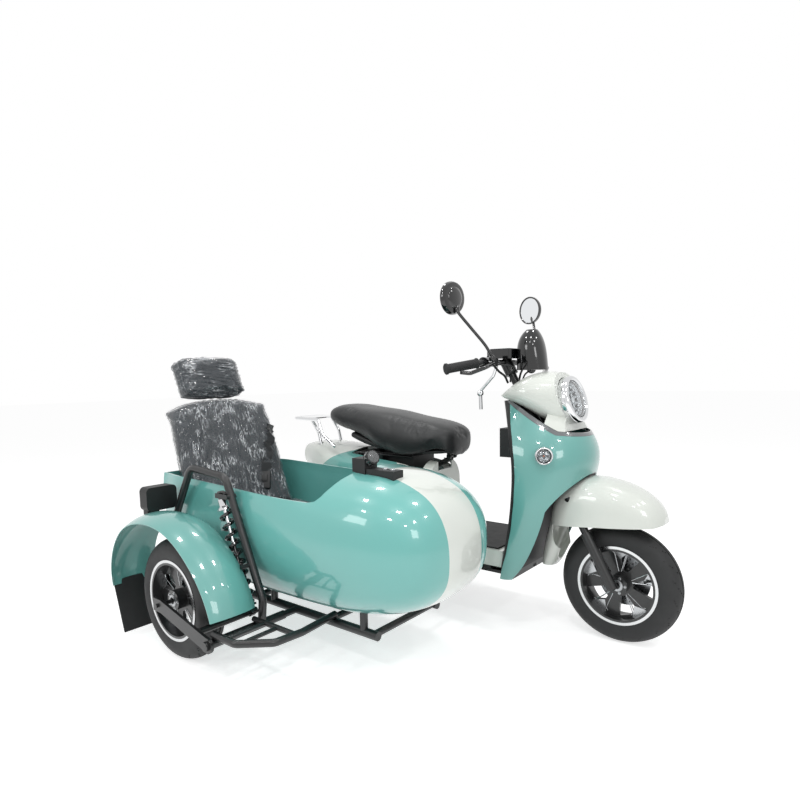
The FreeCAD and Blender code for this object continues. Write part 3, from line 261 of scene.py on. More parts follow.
@dataclass(frozen=True)
class StripedPaint(Finish):
    """Gloss paint with one lengthwise stripe of another colour, forward of a line."""

    stripe: str = "E6EBE4"
    middle: float = 0.0
    half: float = 0.09
    start: float = 0.0

    def colour_socket(self, tree: bpy.types.NodeTree,
                      place: bpy.types.NodeSocket) -> bpy.types.NodeSocket:
        """Main colour, with the stripe where it runs over the nose.

        Args:
            tree: the material's node tree.
            place: the coordinates.
        Returns:
            The colour socket.
        """
        ground = super().colour_socket(tree, place)
        axes = add_node(tree, "ShaderNodeSeparateXYZ", None, {"Vector": place})
        away = add_node(tree, "ShaderNodeMath", {"operation": "SUBTRACT", 1: self.middle},
                        {0: axes.outputs["Y"]})
        near = add_node(tree, "ShaderNodeMath", {"operation": "ABSOLUTE"}, {0: away.outputs[0]})
        inside = add_node(tree, "ShaderNodeMath", {"operation": "LESS_THAN", 1: self.half},
                          {0: near.outputs[0]})
        ahead = add_node(tree, "ShaderNodeMath", {"operation": "GREATER_THAN", 1: self.start},
                         {0: axes.outputs["X"]})
        both = add_node(tree, "ShaderNodeMath", {"operation": "MULTIPLY"},
                        {0: inside.outputs[0], 1: ahead.outputs[0]})
        mix = add_node(tree, "ShaderNodeMix", {"data_type": "RGBA", 7: linear(self.stripe)},
                       {0: both.outputs[0], 6: ground})
        return mix.outputs[2]


@dataclass(frozen=True)
class TurnedEdge(Finish):
    """Black-painted cast wheel whose outer lip was turned bright on a lathe."""

    bright: str = "C9CACB"
    lip: float = 0.1305

    def mask(self, tree: bpy.types.NodeTree,
             place: bpy.types.NodeSocket) -> bpy.types.NodeSocket:
        """1 on the turned lip, 0 elsewhere.

        Args:
            tree: the material's node tree.
            place: the coordinates about the axle.
        Returns:
            The mask socket.
        """
        flat = add_node(tree, "ShaderNodeVectorMath", {"operation": "MULTIPLY", 1: (1.0, 0.0, 1.0)},
                        {0: place})
        reach = add_node(tree, "ShaderNodeVectorMath", {"operation": "LENGTH"}, {0: flat.outputs[0]})
        return add_node(tree, "ShaderNodeMath", {"operation": "GREATER_THAN", 1: self.lip},
                        {0: reach.outputs["Value"]}).outputs[0]

    def build(self) -> bpy.types.Material:
        """Make the material, metallic only on the lip.

        Returns:
            The material.
        """
        material = super().build()
        tree = material.node_tree
        shader = next(n for n in tree.nodes if n.type == "BSDF_PRINCIPLED")
        place = self.coords(tree)
        edge = self.mask(tree, place)
        colour = shader.inputs["Base Color"].links[0].from_socket
        rough = shader.inputs["Roughness"].links[0].from_socket
        mix = add_node(tree, "ShaderNodeMix", {"data_type": "RGBA", 7: linear(self.bright)},
                       {0: edge, 6: colour})
        level = add_node(tree, "ShaderNodeMapRange", {"To Min": 0.34, "To Max": 0.22},
                         {"Value": edge})
        tree.links.new(mix.outputs[2], shader.inputs["Base Color"])
        tree.links.new(edge, shader.inputs["Metallic"])
        tree.links.new(level.outputs[0], shader.inputs["Roughness"])
        LOG.debug("lip mask on %s over %s", material.name, rough)
        return material


@dataclass(frozen=True)
class CreasedFilm(Finish):
    """Clear polythene with folds that run one way, painted whiter and less clear along each fold:
    partly the real whitening of creased polythene, partly painted highlight for the shine of each
    fold.

    `stretch` scales the coordinates, so that a fold is long where it is small; a fold comes
    about every `fold_mm`.
    """

    # painted highlight: colour of the folds, partly the real whitening of creased polythene, partly
    # standing in for their shine
    crease: str = "E3E7EA"
    stretch: Point = (1.0, 1.0, 0.08)
    fold_mm: float = 16.0
    edge: float = 9.0

    def build(self) -> bpy.types.Material:
        """Make the material, whiter and less clear along each fold: partly real whitening, partly
        painted highlight.

        Returns:
            The material.
        """
        material = super().build()
        tree = material.node_tree
        shader = next(node for node in tree.nodes if node.type == "BSDF_PRINCIPLED")
        place = add_node(tree, "ShaderNodeMapping", {"Scale": self.stretch},
                         {"Vector": self.coords(tree)})
        folds = add_node(tree, "ShaderNodeTexNoise",
                         {"Scale": 1000 / self.fold_mm, "Detail": 3.0, "Roughness": 0.6},
                         {"Vector": place.outputs[0]})
        away = add_node(tree, "ShaderNodeMath", {"operation": "SUBTRACT", 1: 0.5},
                        {0: folds.outputs[0]})
        near = add_node(tree, "ShaderNodeMath", {"operation": "ABSOLUTE"}, {0: away.outputs[0]})
        ridge = add_node(tree, "ShaderNodeMapRange",
                         {"From Min": 0.0, "From Max": 1.0 / (2 * self.edge), "To Min": 1.0,
                          "To Max": 0.0}, {"Value": near.outputs[0]})
        patches = add_node(tree, "ShaderNodeTexNoise", {"Scale": 14.0, "Detail": 2.0},
                           {"Vector": self.coords(tree)})
        strength = add_node(tree, "ShaderNodeMapRange", {"From Min": 0.42, "From Max": 0.62},
                            {"Value": patches.outputs[0]})
        # fold: mask of the painted fold highlight, the ridges times the patches
        fold = add_node(tree, "ShaderNodeMath", {"operation": "MULTIPLY"},
                        {0: ridge.outputs[0], 1: strength.outputs[0]})
        colour = shader.inputs["Base Color"].links[0].from_socket
        # painted highlight: the fold colour mixed in along each ridge, partly real whitening of
        # creased polythene
        fold_whitening_and_highlight = add_node(tree, "ShaderNodeMix", {"data_type": "RGBA", 7: linear(self.crease)},
                        {0: fold.outputs[0], 6: colour})
        # the folds also turn less clear, so that the painted highlight shows
        cover = add_node(tree, "ShaderNodeMapRange", {"To Min": self.alpha, "To Max": 0.95},
                         {"Value": fold.outputs[0]})
        tree.links.new(fold_whitening_and_highlight.outputs[2], shader.inputs["Base Color"])
        tree.links.new(cover.outputs[0], shader.inputs["Alpha"])
        return material


# ---------------------------------------------------------------------------------- library
PAINT = {"ior": 1.5, "coat": 1.0, "coat_roughness": 0.02, "pattern": Pattern.WAVE,
         "cell_mm": 14.0, "relief_mm": 0.02, "spread": 0.03, "drift_mm": 400.0}
RUBBER = {"ior": 1.52, "spread": 0.08, "drift_mm": 90.0}


class Finishes:
    """All materials, each built the first time it is asked for."""

    LIST: dict[str, Finish] = {
        # sprayed glass-fibre and ABS shells under a clear coat
        "teal": Finish("teal_paint", "69ADA6", "62A59E", 0.30, **PAINT),
        "white": Finish("white_paint", "E2E6DF", "DBE0D8", 0.32, **PAINT),
        # powder-coated steel tube
        "frame": Finish("black_powder_coat", "101112", "191A1B", 0.38, ior=1.5, coat=0.25,
                        coat_roughness=0.2, cell_mm=1.6, relief_mm=0.08),
        # moulded ABS, textured and polished
        "plastic": Finish("black_moulded_abs", "121314", "1B1C1D", 0.52, cell_mm=0.9,
                          relief_mm=0.08),
        "gloss": Finish("black_polished_abs", "08090A", "0E0F10", 0.12, coat=0.6,
                        pattern=Pattern.WAVE, cell_mm=20.0, relief_mm=0.02),
        "grey": Finish("smoky_grey_abs", "6E7173", "5E6163", 0.24, coat=0.8,
                       pattern=Pattern.WAVE, cell_mm=18.0, relief_mm=0.02),
        # plated and bare metals
        "chrome": Finish("chromium_plate", "D9DADB", "CFD1D3", 0.07, metallic=1.0,
                         pattern=Pattern.WAVE, cell_mm=25.0, relief_mm=0.02, spread=0.03),
        "steel": Finish("brushed_steel", "A9ABAD", "939698", 0.32, metallic=1.0,
                        pattern=Pattern.RINGS, cell_mm=0.8, relief_mm=0.03),
        "satin": Finish("satin_chrome", "B4B6B8", "9DA0A3", 0.26, metallic=1.0, cell_mm=1.0,
                        relief_mm=0.03),
        # vulcanised rubber: tyres are greyer where they flex
        "tyre": Finish("tyre_rubber", "151617", "202122", 0.62, cell_mm=1.4, relief_mm=0.12,
                       **RUBBER),
        "rubber": Finish("soft_rubber", "141516", "1D1E1F", 0.68, cell_mm=0.8, relief_mm=0.08,
                         **RUBBER),
        # pressed vinyl over foam
        "vinyl": Finish("saddle_vinyl", "17191A", "1F2223", 0.44, sheen=0.15,
                        pattern=Pattern.PEBBLE, cell_mm=1.8, relief_mm=0.18),
        "cloth": Finish("seat_weave", "2B2F33", "24282C", 0.85, sheen=0.3,
                        pattern=Pattern.WEAVE, cell_mm=2.0, relief_mm=0.3),
        "belt": Finish("belt_webbing", "15181A", "1C2023", 0.78, sheen=0.3,
                       pattern=Pattern.WEAVE, cell_mm=1.6, relief_mm=0.25),
        # thin polythene: nearly clear; bright where it folds, partly real whitening and partly
        # painted highlight
        "film": Finish("polythene_film", "7A8086", "5A6066", 0.13, ior=1.5, alpha=0.30,
                       pattern=Pattern.WAVE, cell_mm=9.0, relief_mm=0.8, coat=1.0,
                       coat_roughness=0.05),
        # acrylic and glass
        "glass": Finish("clear_acrylic", "F4F7F8", "F4F7F8", 0.02, ior=1.49, transmission=1.0,
                        pattern=Pattern.WAVE, cell_mm=8.0, relief_mm=0.05, spread=0.01),
        "ribbed": Finish("ribbed_acrylic", "EEF1F2", "DDE1E3", 0.10, ior=1.49, transmission=0.85,
                         pattern=Pattern.PEBBLE, cell_mm=5.0, relief_mm=0.6, spread=0.02),
        "red": Finish("red_acrylic", "8E1220", "A3202A", 0.14, coat=1.0,
                      pattern=Pattern.PEBBLE, cell_mm=4.0, relief_mm=0.25),
        "amber": Finish("amber_lamp", "C8642A", "B4532A", 0.30, cell_mm=2.0, relief_mm=0.1),
        "mirror": Finish("silvered_glass", "E8EAEC", "E8EAEC", 0.01, metallic=1.0,
                         pattern=Pattern.WAVE, cell_mm=60.0, relief_mm=0.005, spread=0.005),
        "screen": Finish("display_glass", "B9C2C4", "AEB8BA", 0.16, coat=1.0,
                         pattern=Pattern.WAVE, cell_mm=40.0, relief_mm=0.005),
        "carpet": Finish("needle_carpet", "17191A", "202324", 0.95, sheen=0.5, cell_mm=1.5,
                         relief_mm=0.6),
    }
    made: dict[str, bpy.types.Material] = {}

    @classmethod
    def get(cls, key: str) -> bpy.types.Material:
        """The material of that key, built once."""
        if key not in cls.made:
            cls.made[key] = cls.LIST[key].build()
        return cls.made[key]

    @classmethod
    def own(cls, finish: Finish) -> bpy.types.Material:
        """A finish that only one piece has, built once."""
        if finish.label not in cls.made:
            cls.made[finish.label] = finish.build()
        return cls.made[finish.label]


# ------------------------------------------------------------------------------- mesh tools
@lru_cache(maxsize=None)
def span(node: str) -> tuple[Point, Point]:
    """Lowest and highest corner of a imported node, worked out once."""
    low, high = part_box(node)
    return tuple(low), tuple(high)


def middle(node: str) -> Vector:
    """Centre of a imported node's box."""
    low, high = span(node)
    return (Vector(low) + Vector(high)) / 2


def along_axis(axis: Vector) -> Matrix:
    """Rotation that takes Z to an axis."""
    return axis.normalized().to_track_quat("Z", "Y").to_matrix().to_4x4()


def dress(node: str, key: str) -> None:
    """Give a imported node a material.

    Args:
        node: the node's name.
        key: the finish's key.
    """
    wear(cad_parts[node], Finishes.get(key))


def wear(obj: bpy.types.Object, material: bpy.types.Material) -> None:
    """Put one material on an object in place of what it has."""
    obj.data.materials.clear()
    obj.data.materials.append(material)


def add_piece(bm: bmesh.types.BMesh, name: str, body: Body, material: bpy.types.Material,
              replaces: Sequence[str] = (), sharp: float = 35.0) -> bpy.types.Object:
    """Turn a finished bmesh into a named piece on a body.

    Args:
        bm: the mesh, already in its place; it is freed.
        name: the piece's name.
        body: the body it rides on.
        material: its material.
        replaces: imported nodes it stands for.
        sharp: edges bent more than this many degrees stay sharp.
    Returns:
        The new object.
    """
    bmesh.ops.remove_doubles(bm, verts=bm.verts, dist=1e-6)
    bmesh.ops.recalc_face_normals(bm, faces=bm.faces)
    mesh = bpy.data.meshes.new(name)
    bm.to_mesh(mesh)
    bm.free()
    mesh.shade_smooth()
    mesh.set_sharp_from_angle(angle=math.radians(sharp))
    obj = bpy.data.objects.new(name, mesh)
    bpy.context.scene.collection.objects.link(obj)
    mesh.materials.append(material)
    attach(obj, body.value)
    if replaces:
        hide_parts(*replaces)
    LOG.info("piece %s: %d faces on %s", name, len(mesh.polygons), body.value)
    return obj


def lathe(bm: bmesh.types.BMesh, profile: Sequence[tuple[float, float]], centre: Vector,
          axis: Vector, steps: int = 48) -> None:
    """Turn a profile about an axis.

    Args:
        bm: the mesh to add to.
        profile: (place along the axis, radius) of each point.
        centre: the axis's zero point.
        axis: its direction.
        steps: segments round.
    """
    turn = Matrix.Translation(centre) @ along_axis(axis)
    ring = [bm.verts.new(turn @ Vector((radius, 0.0, along))) for along, radius in profile]
    edges = [bm.edges.new(pair) for pair in zip(ring, ring[1:])]
    bmesh.ops.spin(bm, geom=ring + edges, cent=centre, axis=axis.normalized(), angle=TURN,
                   steps=steps, use_merge=True)
    bmesh.ops.remove_doubles(bm, verts=bm.verts, dist=1e-6)


def sweep(bm: bmesh.types.BMesh, path: Sequence[Vector], radius: float | Callable[[float], float],
          segments: int = 12, closed: bool = False) -> None:
    """Run a ring along a path, extruding it from point to point.

    Args:
        bm: the mesh to add to.
        path: the points.
        radius: the ring's radius, or that as a function of the share of the path.
        segments: sides of the ring.
        closed: whether the path comes back to its start.
    """
    count = len(path)
    size = radius if callable(radius) else (lambda share: radius)
    rings = []
    turned = None
    for index, point in enumerate(path):
        before = path[index - 1] if index or closed else point
        after = path[(index + 1) % count] if index + 1 < count or closed else point
        ahead = (after - before).normalized()
        if turned is None:
            turned = ahead.to_track_quat("Z", "Y")
        else:
            turned = (turned @ Vector((0, 0, 1))).rotation_difference(ahead) @ turned
        place = Matrix.Translation(point) @ turned.to_matrix().to_4x4()
        made = bmesh.ops.create_circle(bm, segments=segments, radius=size(index / (count - 1)),
                                       matrix=place)
        ring = made["verts"]
        rings.append(list({edge for vert in ring for edge in vert.link_edges}))
    if closed:
        rings.append(rings[0])
    for one, two in zip(rings, rings[1:]):
        bmesh.ops.bridge_loops(bm, edges=one + two)
    if not closed:
        for end in (rings[0], rings[-1]):
            bmesh.ops.contextual_create(bm, geom=end)


def smooth_path(points: Sequence[Vector], steps: int = 8) -> list[Vector]:
    """Even curve through a few points.

    Args:
        points: the points that it passes.
        steps: new points to each run.
    Returns:
        The finer path.
    """
    ends = [points[0] * 2 - points[1], *points, points[-1] * 2 - points[-2]]
    path = []
    for a, b, c, d in zip(ends, ends[1:], ends[2:], ends[3:]):
        for step in range(steps):
            t = step / steps
            path.append(0.5 * ((2 * b) + (c - a) * t + (2 * a - 5 * b + 4 * c - d) * t * t
                               + (3 * b - a - 3 * c + d) * t ** 3))
    path.append(points[-1])
    return path


def add_block(bm: bmesh.types.BMesh, centre: Vector, size: Point, turn: Matrix | None = None,
              bevel: float = 0.0, segments: int = 2) -> None:
    """Rounded block.

    Args:
        bm: the mesh to add to.
        centre: its middle.
        size: its lengths.
        turn: a rotation about its middle.
        bevel: the radius of its edges.
        segments: steps in each rounded edge.
    """
    place = Matrix.Translation(centre) @ (turn or Matrix.Identity(4)) @ Matrix.Diagonal((*size, 1))
    made = bmesh.ops.create_cube(bm, size=1.0, matrix=place)["verts"]
    if bevel:
        edges = list({edge for vert in made for edge in vert.link_edges})
        bmesh.ops.bevel(bm, geom=edges, offset=bevel, offset_type="OFFSET", segments=segments,
                        profile=0.5, affect="EDGES", material=-1)


def add_bolt(bm: bmesh.types.BMesh, seat: Vector, axis: Vector, radius: float = 0.006,
             domed: bool = False) -> None:
    """Bolt head on its washer.

    Args:
        bm: the mesh to add to.
        seat: the middle of the surface under the washer.
        axis: the way the head points.
        radius: the head's radius.
        domed: a round head in place of a hexagon.
    """
    way = axis.normalized()
    turn = along_axis(way)
    lathe(bm, [(-radius * 0.2, radius * 0.3), (-radius * 0.2, radius * 1.5),
               (radius * 0.12, radius * 1.5), (radius * 0.2, radius * 1.35),
               (radius * 0.2, radius * 0.3)], seat, way, 20)
    if domed:
        lathe(bm, [(radius * 0.2, radius), (radius * 0.45, radius * 0.92),
                   (radius * 0.7, radius * 0.6), (radius * 0.8, 0.0)], seat, way, 20)
        return
    head = bmesh.ops.create_cone(bm, cap_ends=True, segments=6, radius1=radius, radius2=radius,
                                 depth=radius * 0.9,
                                 matrix=Matrix.Translation(seat + way * radius * 0.6) @ turn)
    rim = [edge for edge in {e for v in head["verts"] for e in v.link_edges}]
    bmesh.ops.bevel(bm, geom=rim, offset=radius * 0.09, offset_type="OFFSET", segments=1,
                    profile=0.5, affect="EDGES", material=-1)


# ----------------------------------------------------------------------------------- wheels
@dataclass
class Wheel:
    """One wheel's treaded tyre, turned lip, bright spoke edges, hub cap and valve."""

    place: str
    body: Body
    spoked: bool = True
    columns: int = 36
    steps: int = 300
    crown: float = 0.042
    wall: float = 0.068
    widest: float = 0.168
    groove: float = 0.0028
    pitches: int = 18
    spokes: int = 5
    first_spoke: float = 90.0
    face: float = 0.0078

    @property
    def centre(self) -> Vector:
        """Middle of the wheel."""
        return middle(f"{self.place}_tyre")

    def section(self) -> list[tuple[float, float]]:
        """Outline of the tyre: (sideways, radius), bead to bead."""
        low, high = span(f"{self.place}_tyre")
        half = (high[1] - low[1]) / 2
        outline = []
        for column in range(self.columns + 1):
            angle = math.radians(-122 + 244 * column / self.columns)
            reach = self.crown if math.cos(angle) > 0 else self.wall
            bulge = 1 + 0.004 * math.cos(8 * angle) * (abs(math.sin(angle)) > 0.8)
            outline.append((half * math.sin(angle) * bulge,
                            self.widest + reach * math.cos(angle)))
        return outline

    def in_groove(self, around: float, side: float) -> bool:
        """Whether a spot of the tread is cut away.

        Args:
            around: the angle about the axle.
            side: sideways place, metres.
        Returns:
            True in a centre line or in one of the swept cuts.
        """
        away = abs(side)
        if 0.0052 < away < 0.0082:
            return True
        if not 0.011 < away < 0.0395:
            return False
        pitch = TURN / self.pitches
        lag = pitch * 0.5 if side > 0 else 0.0
        sweep_by = 0.9 * pitch * ((away - 0.011) / 0.03) ** 1.4
        off = (around - lag - sweep_by + pitch / 2) % pitch - pitch / 2
        return abs(off) * 0.2 < 0.0018

    def tyre(self) -> None:
        """Turn the carcass and press the tread into it."""
        bm = bmesh.new()
        centre = self.centre
        outline = self.section()
        ring = [bm.verts.new(centre + Vector((radius, side, 0))) for side, radius in outline]
        loop = list(zip(ring, ring[1:])) + [(ring[-1], ring[0])]
        edges = [bm.edges.new(pair) for pair in loop]
        bmesh.ops.spin(bm, geom=ring + edges, cent=centre, axis=(0, 1, 0), angle=TURN,
                       steps=self.steps, use_merge=True)
        bmesh.ops.remove_doubles(bm, verts=bm.verts, dist=1e-6)
        cut = []
        for face in bm.faces:
            spot = face.calc_center_median() - centre
            if math.hypot(spot.x, spot.z) > self.widest + 0.012 and self.in_groove(
                    math.atan2(spot.z, spot.x), spot.y):
                cut.append(face)
        walls = bmesh.ops.extrude_face_region(bm, geom=cut)
        for vert in (item for item in walls["geom"] if isinstance(item, bmesh.types.BMVert)):
            away = Vector((vert.co.x - centre.x, 0, vert.co.z - centre.z)).normalized()
            vert.co -= away * self.groove
        bmesh.ops.delete(bm, geom=cut, context="FACES")
        tyre = add_piece(bm, f"{self.place}_tyre_tread", self.body, Finishes.get("tyre"),
                         [f"{self.place}_tyre"], 28.0)

    def rim_dress(self) -> None:
        """Give the cast rim its paint and turned lip."""
        finish = TurnedEdge(f"{self.place}_cast_wheel", "1A1B1C", "232425", 0.36, coat=0.3,
                            pattern=Pattern.RINGS, cell_mm=0.7, relief_mm=0.03,
                            centre=tuple(self.centre))
        wear(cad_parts[f"{self.place}_rim"], Finishes.own(finish))

    def spoke_edges(self) -> None:
        """Machined ribs round each window and a flared plate at each spoke's end."""
        bm = bmesh.new()
        centre = self.centre
        for side in (-1, 1):
            for spoke in range(self.spokes):
                about = math.radians(self.first_spoke) + TURN * spoke / self.spokes
                turn = Matrix.Translation(centre) @ Matrix.Rotation(-about, 4, "Y")
                lift = side * (self.face - 0.0004)
                for way in (-1, 1):
                    path = [(0.043, 0.004), (0.060, 0.0085), (0.085, 0.0145), (0.106, 0.0205),
                            (0.1125, 0.030)]
                    points = [turn @ Vector((x, lift, way * z)) for x, z in path]
                    sweep(bm, smooth_path(points, 5), 0.0016, 8)
                plate = [(0.1115, -0.0235), (0.1225, -0.030), (0.1225, 0.030), (0.1115, 0.0235),
                         (0.088, 0.0)]
                verts = [bm.verts.new(turn @ Vector((x, side * self.face, z))) for x, z in plate]
                face = bm.faces.new(verts)
                top = bmesh.ops.extrude_face_region(bm, geom=[face])["geom"]
                for vert in (v for v in top if isinstance(v, bmesh.types.BMVert)):
                    vert.co.y += side * 0.0012
        add_piece(bm, f"{self.place}_spoke_edges", self.body, Finishes.get("satin"))

    def hub(self) -> None:
        """Hub cap with its ring of bolts on each side, and the valve."""
        bm = bmesh.new()
        low, high = span(f"{self.place}_rim")
        centre = self.centre
        half = 0.038 if self.spoked else 0.042
        reach = 0.034 if self.spoked else 0.090
        for side in (-1, 1):
            way = Vector((0, side, 0))
            seat = centre + way * half
            lathe(bm, [(0.0, reach * 0.62), (0.003, reach * 0.60), (0.0045, reach * 0.5),
                       (0.0045, 0.012), (0.0, 0.012)], seat, way, 40)
            count = 5 if self.spoked else 9
            for bolt in range(count):
                about = TURN * bolt / count
                spot = seat + Vector((math.cos(about), 0, math.sin(about))) * reach * 0.8
                add_bolt(bm, spot - way * 0.0002, way, 0.0035 if self.spoked else 0.005)
        add_piece(bm, f"{self.place}_hub_caps", self.body, Finishes.get("steel"))
        bm = bmesh.new()
        foot = centre + Vector((0.112, -0.010, 0.030))
        lathe(bm, [(-0.002, 0.0045), (0.006, 0.0045), (0.008, 0.003), (0.022, 0.003),
                   (0.022, 0.0042), (0.030, 0.0042), (0.031, 0.0)], foot,
              Vector((-1.0, -0.5, -0.25)), 14)
        add_piece(bm, f"{self.place}_valve", self.body, Finishes.get("rubber"))
        LOG.debug("rim of %s is %.3f wide", self.place, high[1] - low[1])

    def build(self) -> None:
        """Make every part of the wheel."""
        self.tyre()
        self.rim_dress()
        if self.spoked:
            self.spoke_edges()
        self.hub()


@dataclass
class Brake:
    """Front disc's finish with its ring of vents, drawn as black cups of painted shade, and bolts.
    """

    rows: tuple[tuple[float, int], ...] = ((0.080, 24), (0.070, 24), (0.060, 18))
    hole: float = 0.003

    def build(self) -> None:
        """Dress the disc, add black cups in place of the drilled vents and add the carrier's bolts;
        the cups are painted shade for the holes, with the black wheel that shows through them.
        """
        centre = middle("front_brake_disc")
        finish = Finish("ground_disc", "9FA2A5", "8B8E91", 0.28, metallic=1.0,
                        pattern=Pattern.RINGS, cell_mm=0.5, relief_mm=0.05, centre=tuple(centre))
        wear(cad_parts["front_brake_disc"], Finishes.own(finish))
        bm = bmesh.new()
        bolts = bmesh.new()
        for side in (-1, 1):
            way = Vector((0, side, 0))
            for row, (reach, count) in enumerate(self.rows):
                for step in range(count):
                    about = TURN * (step + row * 0.33) / count
                    spot = centre + Vector((math.cos(about), 0, math.sin(about))) * reach
                    # black cup in place of a drilled hole: painted shade inside the hole, with the
                    # dark wheel seen through it
                    lathe(bm, [(0.00195, self.hole), (0.00225, self.hole * 0.8), (0.00215, 0.0)],
                          spot, way, 10)
            for step in range(5):
                about = TURN * step / 5
                spot = centre + Vector((math.cos(about), 0, math.sin(about))) * 0.040
                add_bolt(bolts, spot + way * 0.0019, way, 0.004)
        # the vents are painted: black cups for the shade in each hole and the black wheel behind
        add_piece(bm, "front_disc_vents", Body.FRONT_WHEEL, Finishes.get("gloss"))
        add_piece(bolts, "front_disc_bolts", Body.FRONT_WHEEL, Finishes.get("steel"))


# -------------------------------------------------------------------------- lamps and front
@dataclass
class Headlamp:
    """Chrome-ringed headlamp with its bowl, lamp ring and clear glass."""

    radius: float = 0.087
    tilt: float = 15.6
    glass: float = 0.068

    @property
    def facing(self) -> Vector:
        """The way the lamp points."""
        lean = math.radians(self.tilt)
        return Vector((math.cos(lean), 0.0, math.sin(lean)))

    @property
    def centre(self) -> Vector:
        """Middle of the lamp's front face, from the lamps' box."""
        low, high = span("front_lamps")
        lean = math.radians(self.tilt)
        side = (low[1] + high[1]) / 2
        return Vector((high[0] - self.radius * math.sin(lean) * 0.955, side,
                       high[2] - self.radius * math.cos(lean)))

    def build(self) -> None:
        """Turn the ring, bowl, lamp ring and glass."""
        way, centre = self.facing, self.centre
        bm = bmesh.new()
        r = self.radius
        lathe(bm, [(-0.034, r - 0.002), (-0.030, r), (-0.012, r), (-0.0105, r - 0.0015),
                   (-0.009, r), (0.000, r - 0.0005), (0.004, r - 0.0035), (0.006, r - 0.008),
                   (0.0055, r - 0.0125), (0.001, self.glass + 0.0015), (-0.006, self.glass),
                   (-0.012, self.glass), (-0.012, self.glass + 0.004), (-0.034, r - 0.008),
                   (-0.034, r - 0.002)], centre, way, 72)
        ring = add_piece(bm, "headlamp_ring", Body.FRAME, Finishes.get("chrome"),
                         ["front_lamps"])
        bm = bmesh.new()
        lathe(bm, [(-0.008, self.glass + 0.0005), (-0.011, 0.062), (-0.022, 0.052),
                   (-0.030, 0.036), (-0.034, 0.018), (-0.035, 0.0), (-0.0365, 0.0),
                   (-0.0355, 0.020), (-0.0315, 0.038), (-0.023, 0.055), (-0.012, 0.066),
                   (-0.008, self.glass + 0.0005)], centre, way, 60)
        add_piece(bm, "headlamp_bowl", Body.FRAME, Finishes.get("satin"))
        bm = bmesh.new()
        for reach, count in ((0.050, 14), (0.030, 9)):
            for step in range(count):
                about = TURN * step / count
                out = Matrix.Rotation(about, 4, way) @ Vector((0, 1, 0))
                spot = centre + out * reach - way * (0.020 if reach > 0.04 else 0.029)
                lathe(bm, [(0.0, 0.0075), (0.003, 0.0070), (0.005, 0.0045), (0.0055, 0.0)],
                      spot, way, 12)
        lathe(bm, [(-0.034, 0.013), (-0.016, 0.012), (-0.013, 0.009), (-0.012, 0.0)], centre,
              way, 24)
        add_piece(bm, "headlamp_lamps", Body.FRAME, Finishes.get("chrome"))
        bm = bmesh.new()
        lathe(bm, [(-0.0115, 0.0625), (-0.009, 0.0675), (-0.0055, 0.0665), (-0.0065, 0.0615),
                   (-0.0115, 0.0625)], centre, way, 60)
        add_piece(bm, "headlamp_dark_ring", Body.FRAME, Finishes.get("plastic"))
        bm = bmesh.new()
        outer = [(-0.004 + 0.011 * math.cos(math.radians(90 * s / 10)),
                  self.glass * math.sin(math.radians(90 * s / 10))) for s in range(11)]
        inner = [(along - 0.002, reach * 0.985) for along, reach in reversed(outer)]
        lathe(bm, outer + inner, centre, way, 60)
        add_piece(bm, "headlamp_glass", Body.FRAME, Finishes.get("glass"))


@dataclass
class Indicators:
    """Round indicators in chrome rings, with four-petal bowls behind clear glass."""

    radius: float = 0.032
    axis: Point = (0.5, 0.86, 0.1)

    def one(self, side: int) -> None:
        """Make the indicator on one side.

        Args:
            side: 1 for the rider's left, -1 for the right.
        """
        low, high = span("front_lamps")
        way = Vector((self.axis[0], self.axis[1] * side, self.axis[2])).normalized()
        across = way.cross(Vector((0, 0, 1))).normalized()
        rise = across.cross(way)
        tip = Vector((0.0, high[1] if side > 0 else low[1], low[2]))
        seat = Vector((CAD.indicator_x, tip.y - side * 0.0145, low[2] + 0.0335))
        name = "left" if side > 0 else "right"
        r = self.radius
        bm = bmesh.new()
        lathe(bm, [(-0.016, r * 0.96), (0.004, r * 0.98), (0.008, r * 0.95), (0.010, r * 0.88),
                   (0.009, r * 0.80), (0.003, r * 0.76), (-0.016, r * 0.76),
                   (-0.016, r * 0.96)], seat, way, 48)
        add_piece(bm, f"indicator_ring_{name}", Body.FRAME, Finishes.get("chrome"))
        bm = bmesh.new()
        for petal in range(4):
            about = math.radians(45 + 90 * petal)
            out = across * math.cos(about) + rise * math.sin(about)
            lathe(bm, [(-0.004, r * 0.34), (-0.0065, r * 0.26), (-0.0095, r * 0.14),
                       (-0.0105, 0.0), (-0.0125, 0.0), (-0.011, r * 0.2), (-0.006, r * 0.36),
                       (-0.004, r * 0.34)], seat + out * r * 0.36, way, 20)
        lathe(bm, [(-0.005, r * 0.78), (-0.009, r * 0.70), (-0.013, r * 0.3), (-0.0135, 0.0)],
              seat, way, 40)
        add_piece(bm, f"indicator_bowl_{name}", Body.FRAME, Finishes.get("satin"))
        bm = bmesh.new()
        lathe(bm, [(-0.013, r * 0.13), (-0.006, r * 0.12), (-0.002, r * 0.06), (-0.001, 0.0)],
              seat, way, 16)
        add_piece(bm, f"indicator_bulb_{name}", Body.FRAME, Finishes.get("amber"))
        bm = bmesh.new()
        dome = [(0.002 + 0.009 * math.cos(math.radians(90 * s / 8)),
                 r * 0.80 * math.sin(math.radians(90 * s / 8))) for s in range(9)]
        back = [(along - 0.0016, reach * 0.97) for along, reach in reversed(dome)]
        lathe(bm, dome + back, seat, way, 40)
        add_piece(bm, f"indicator_glass_{name}", Body.FRAME, Finishes.get("glass"))

    def build(self) -> None:
        """Make both."""
        for side in (-1, 1):
            self.one(side)


@dataclass(frozen=True)
class CadPlaces:
    """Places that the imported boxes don't give: where solids of a shared node stand."""

    scooter_x: float = 0.7056
    scooter_y: float = 0.3769
    indicator_x: float = 0.5000

    def at(self, x: float, y: float, z: float) -> Vector:
        """A place given from the floor below the front axle."""
        return Vector((self.scooter_x + x, self.scooter_y + y, z))


CAD = CadPlaces()


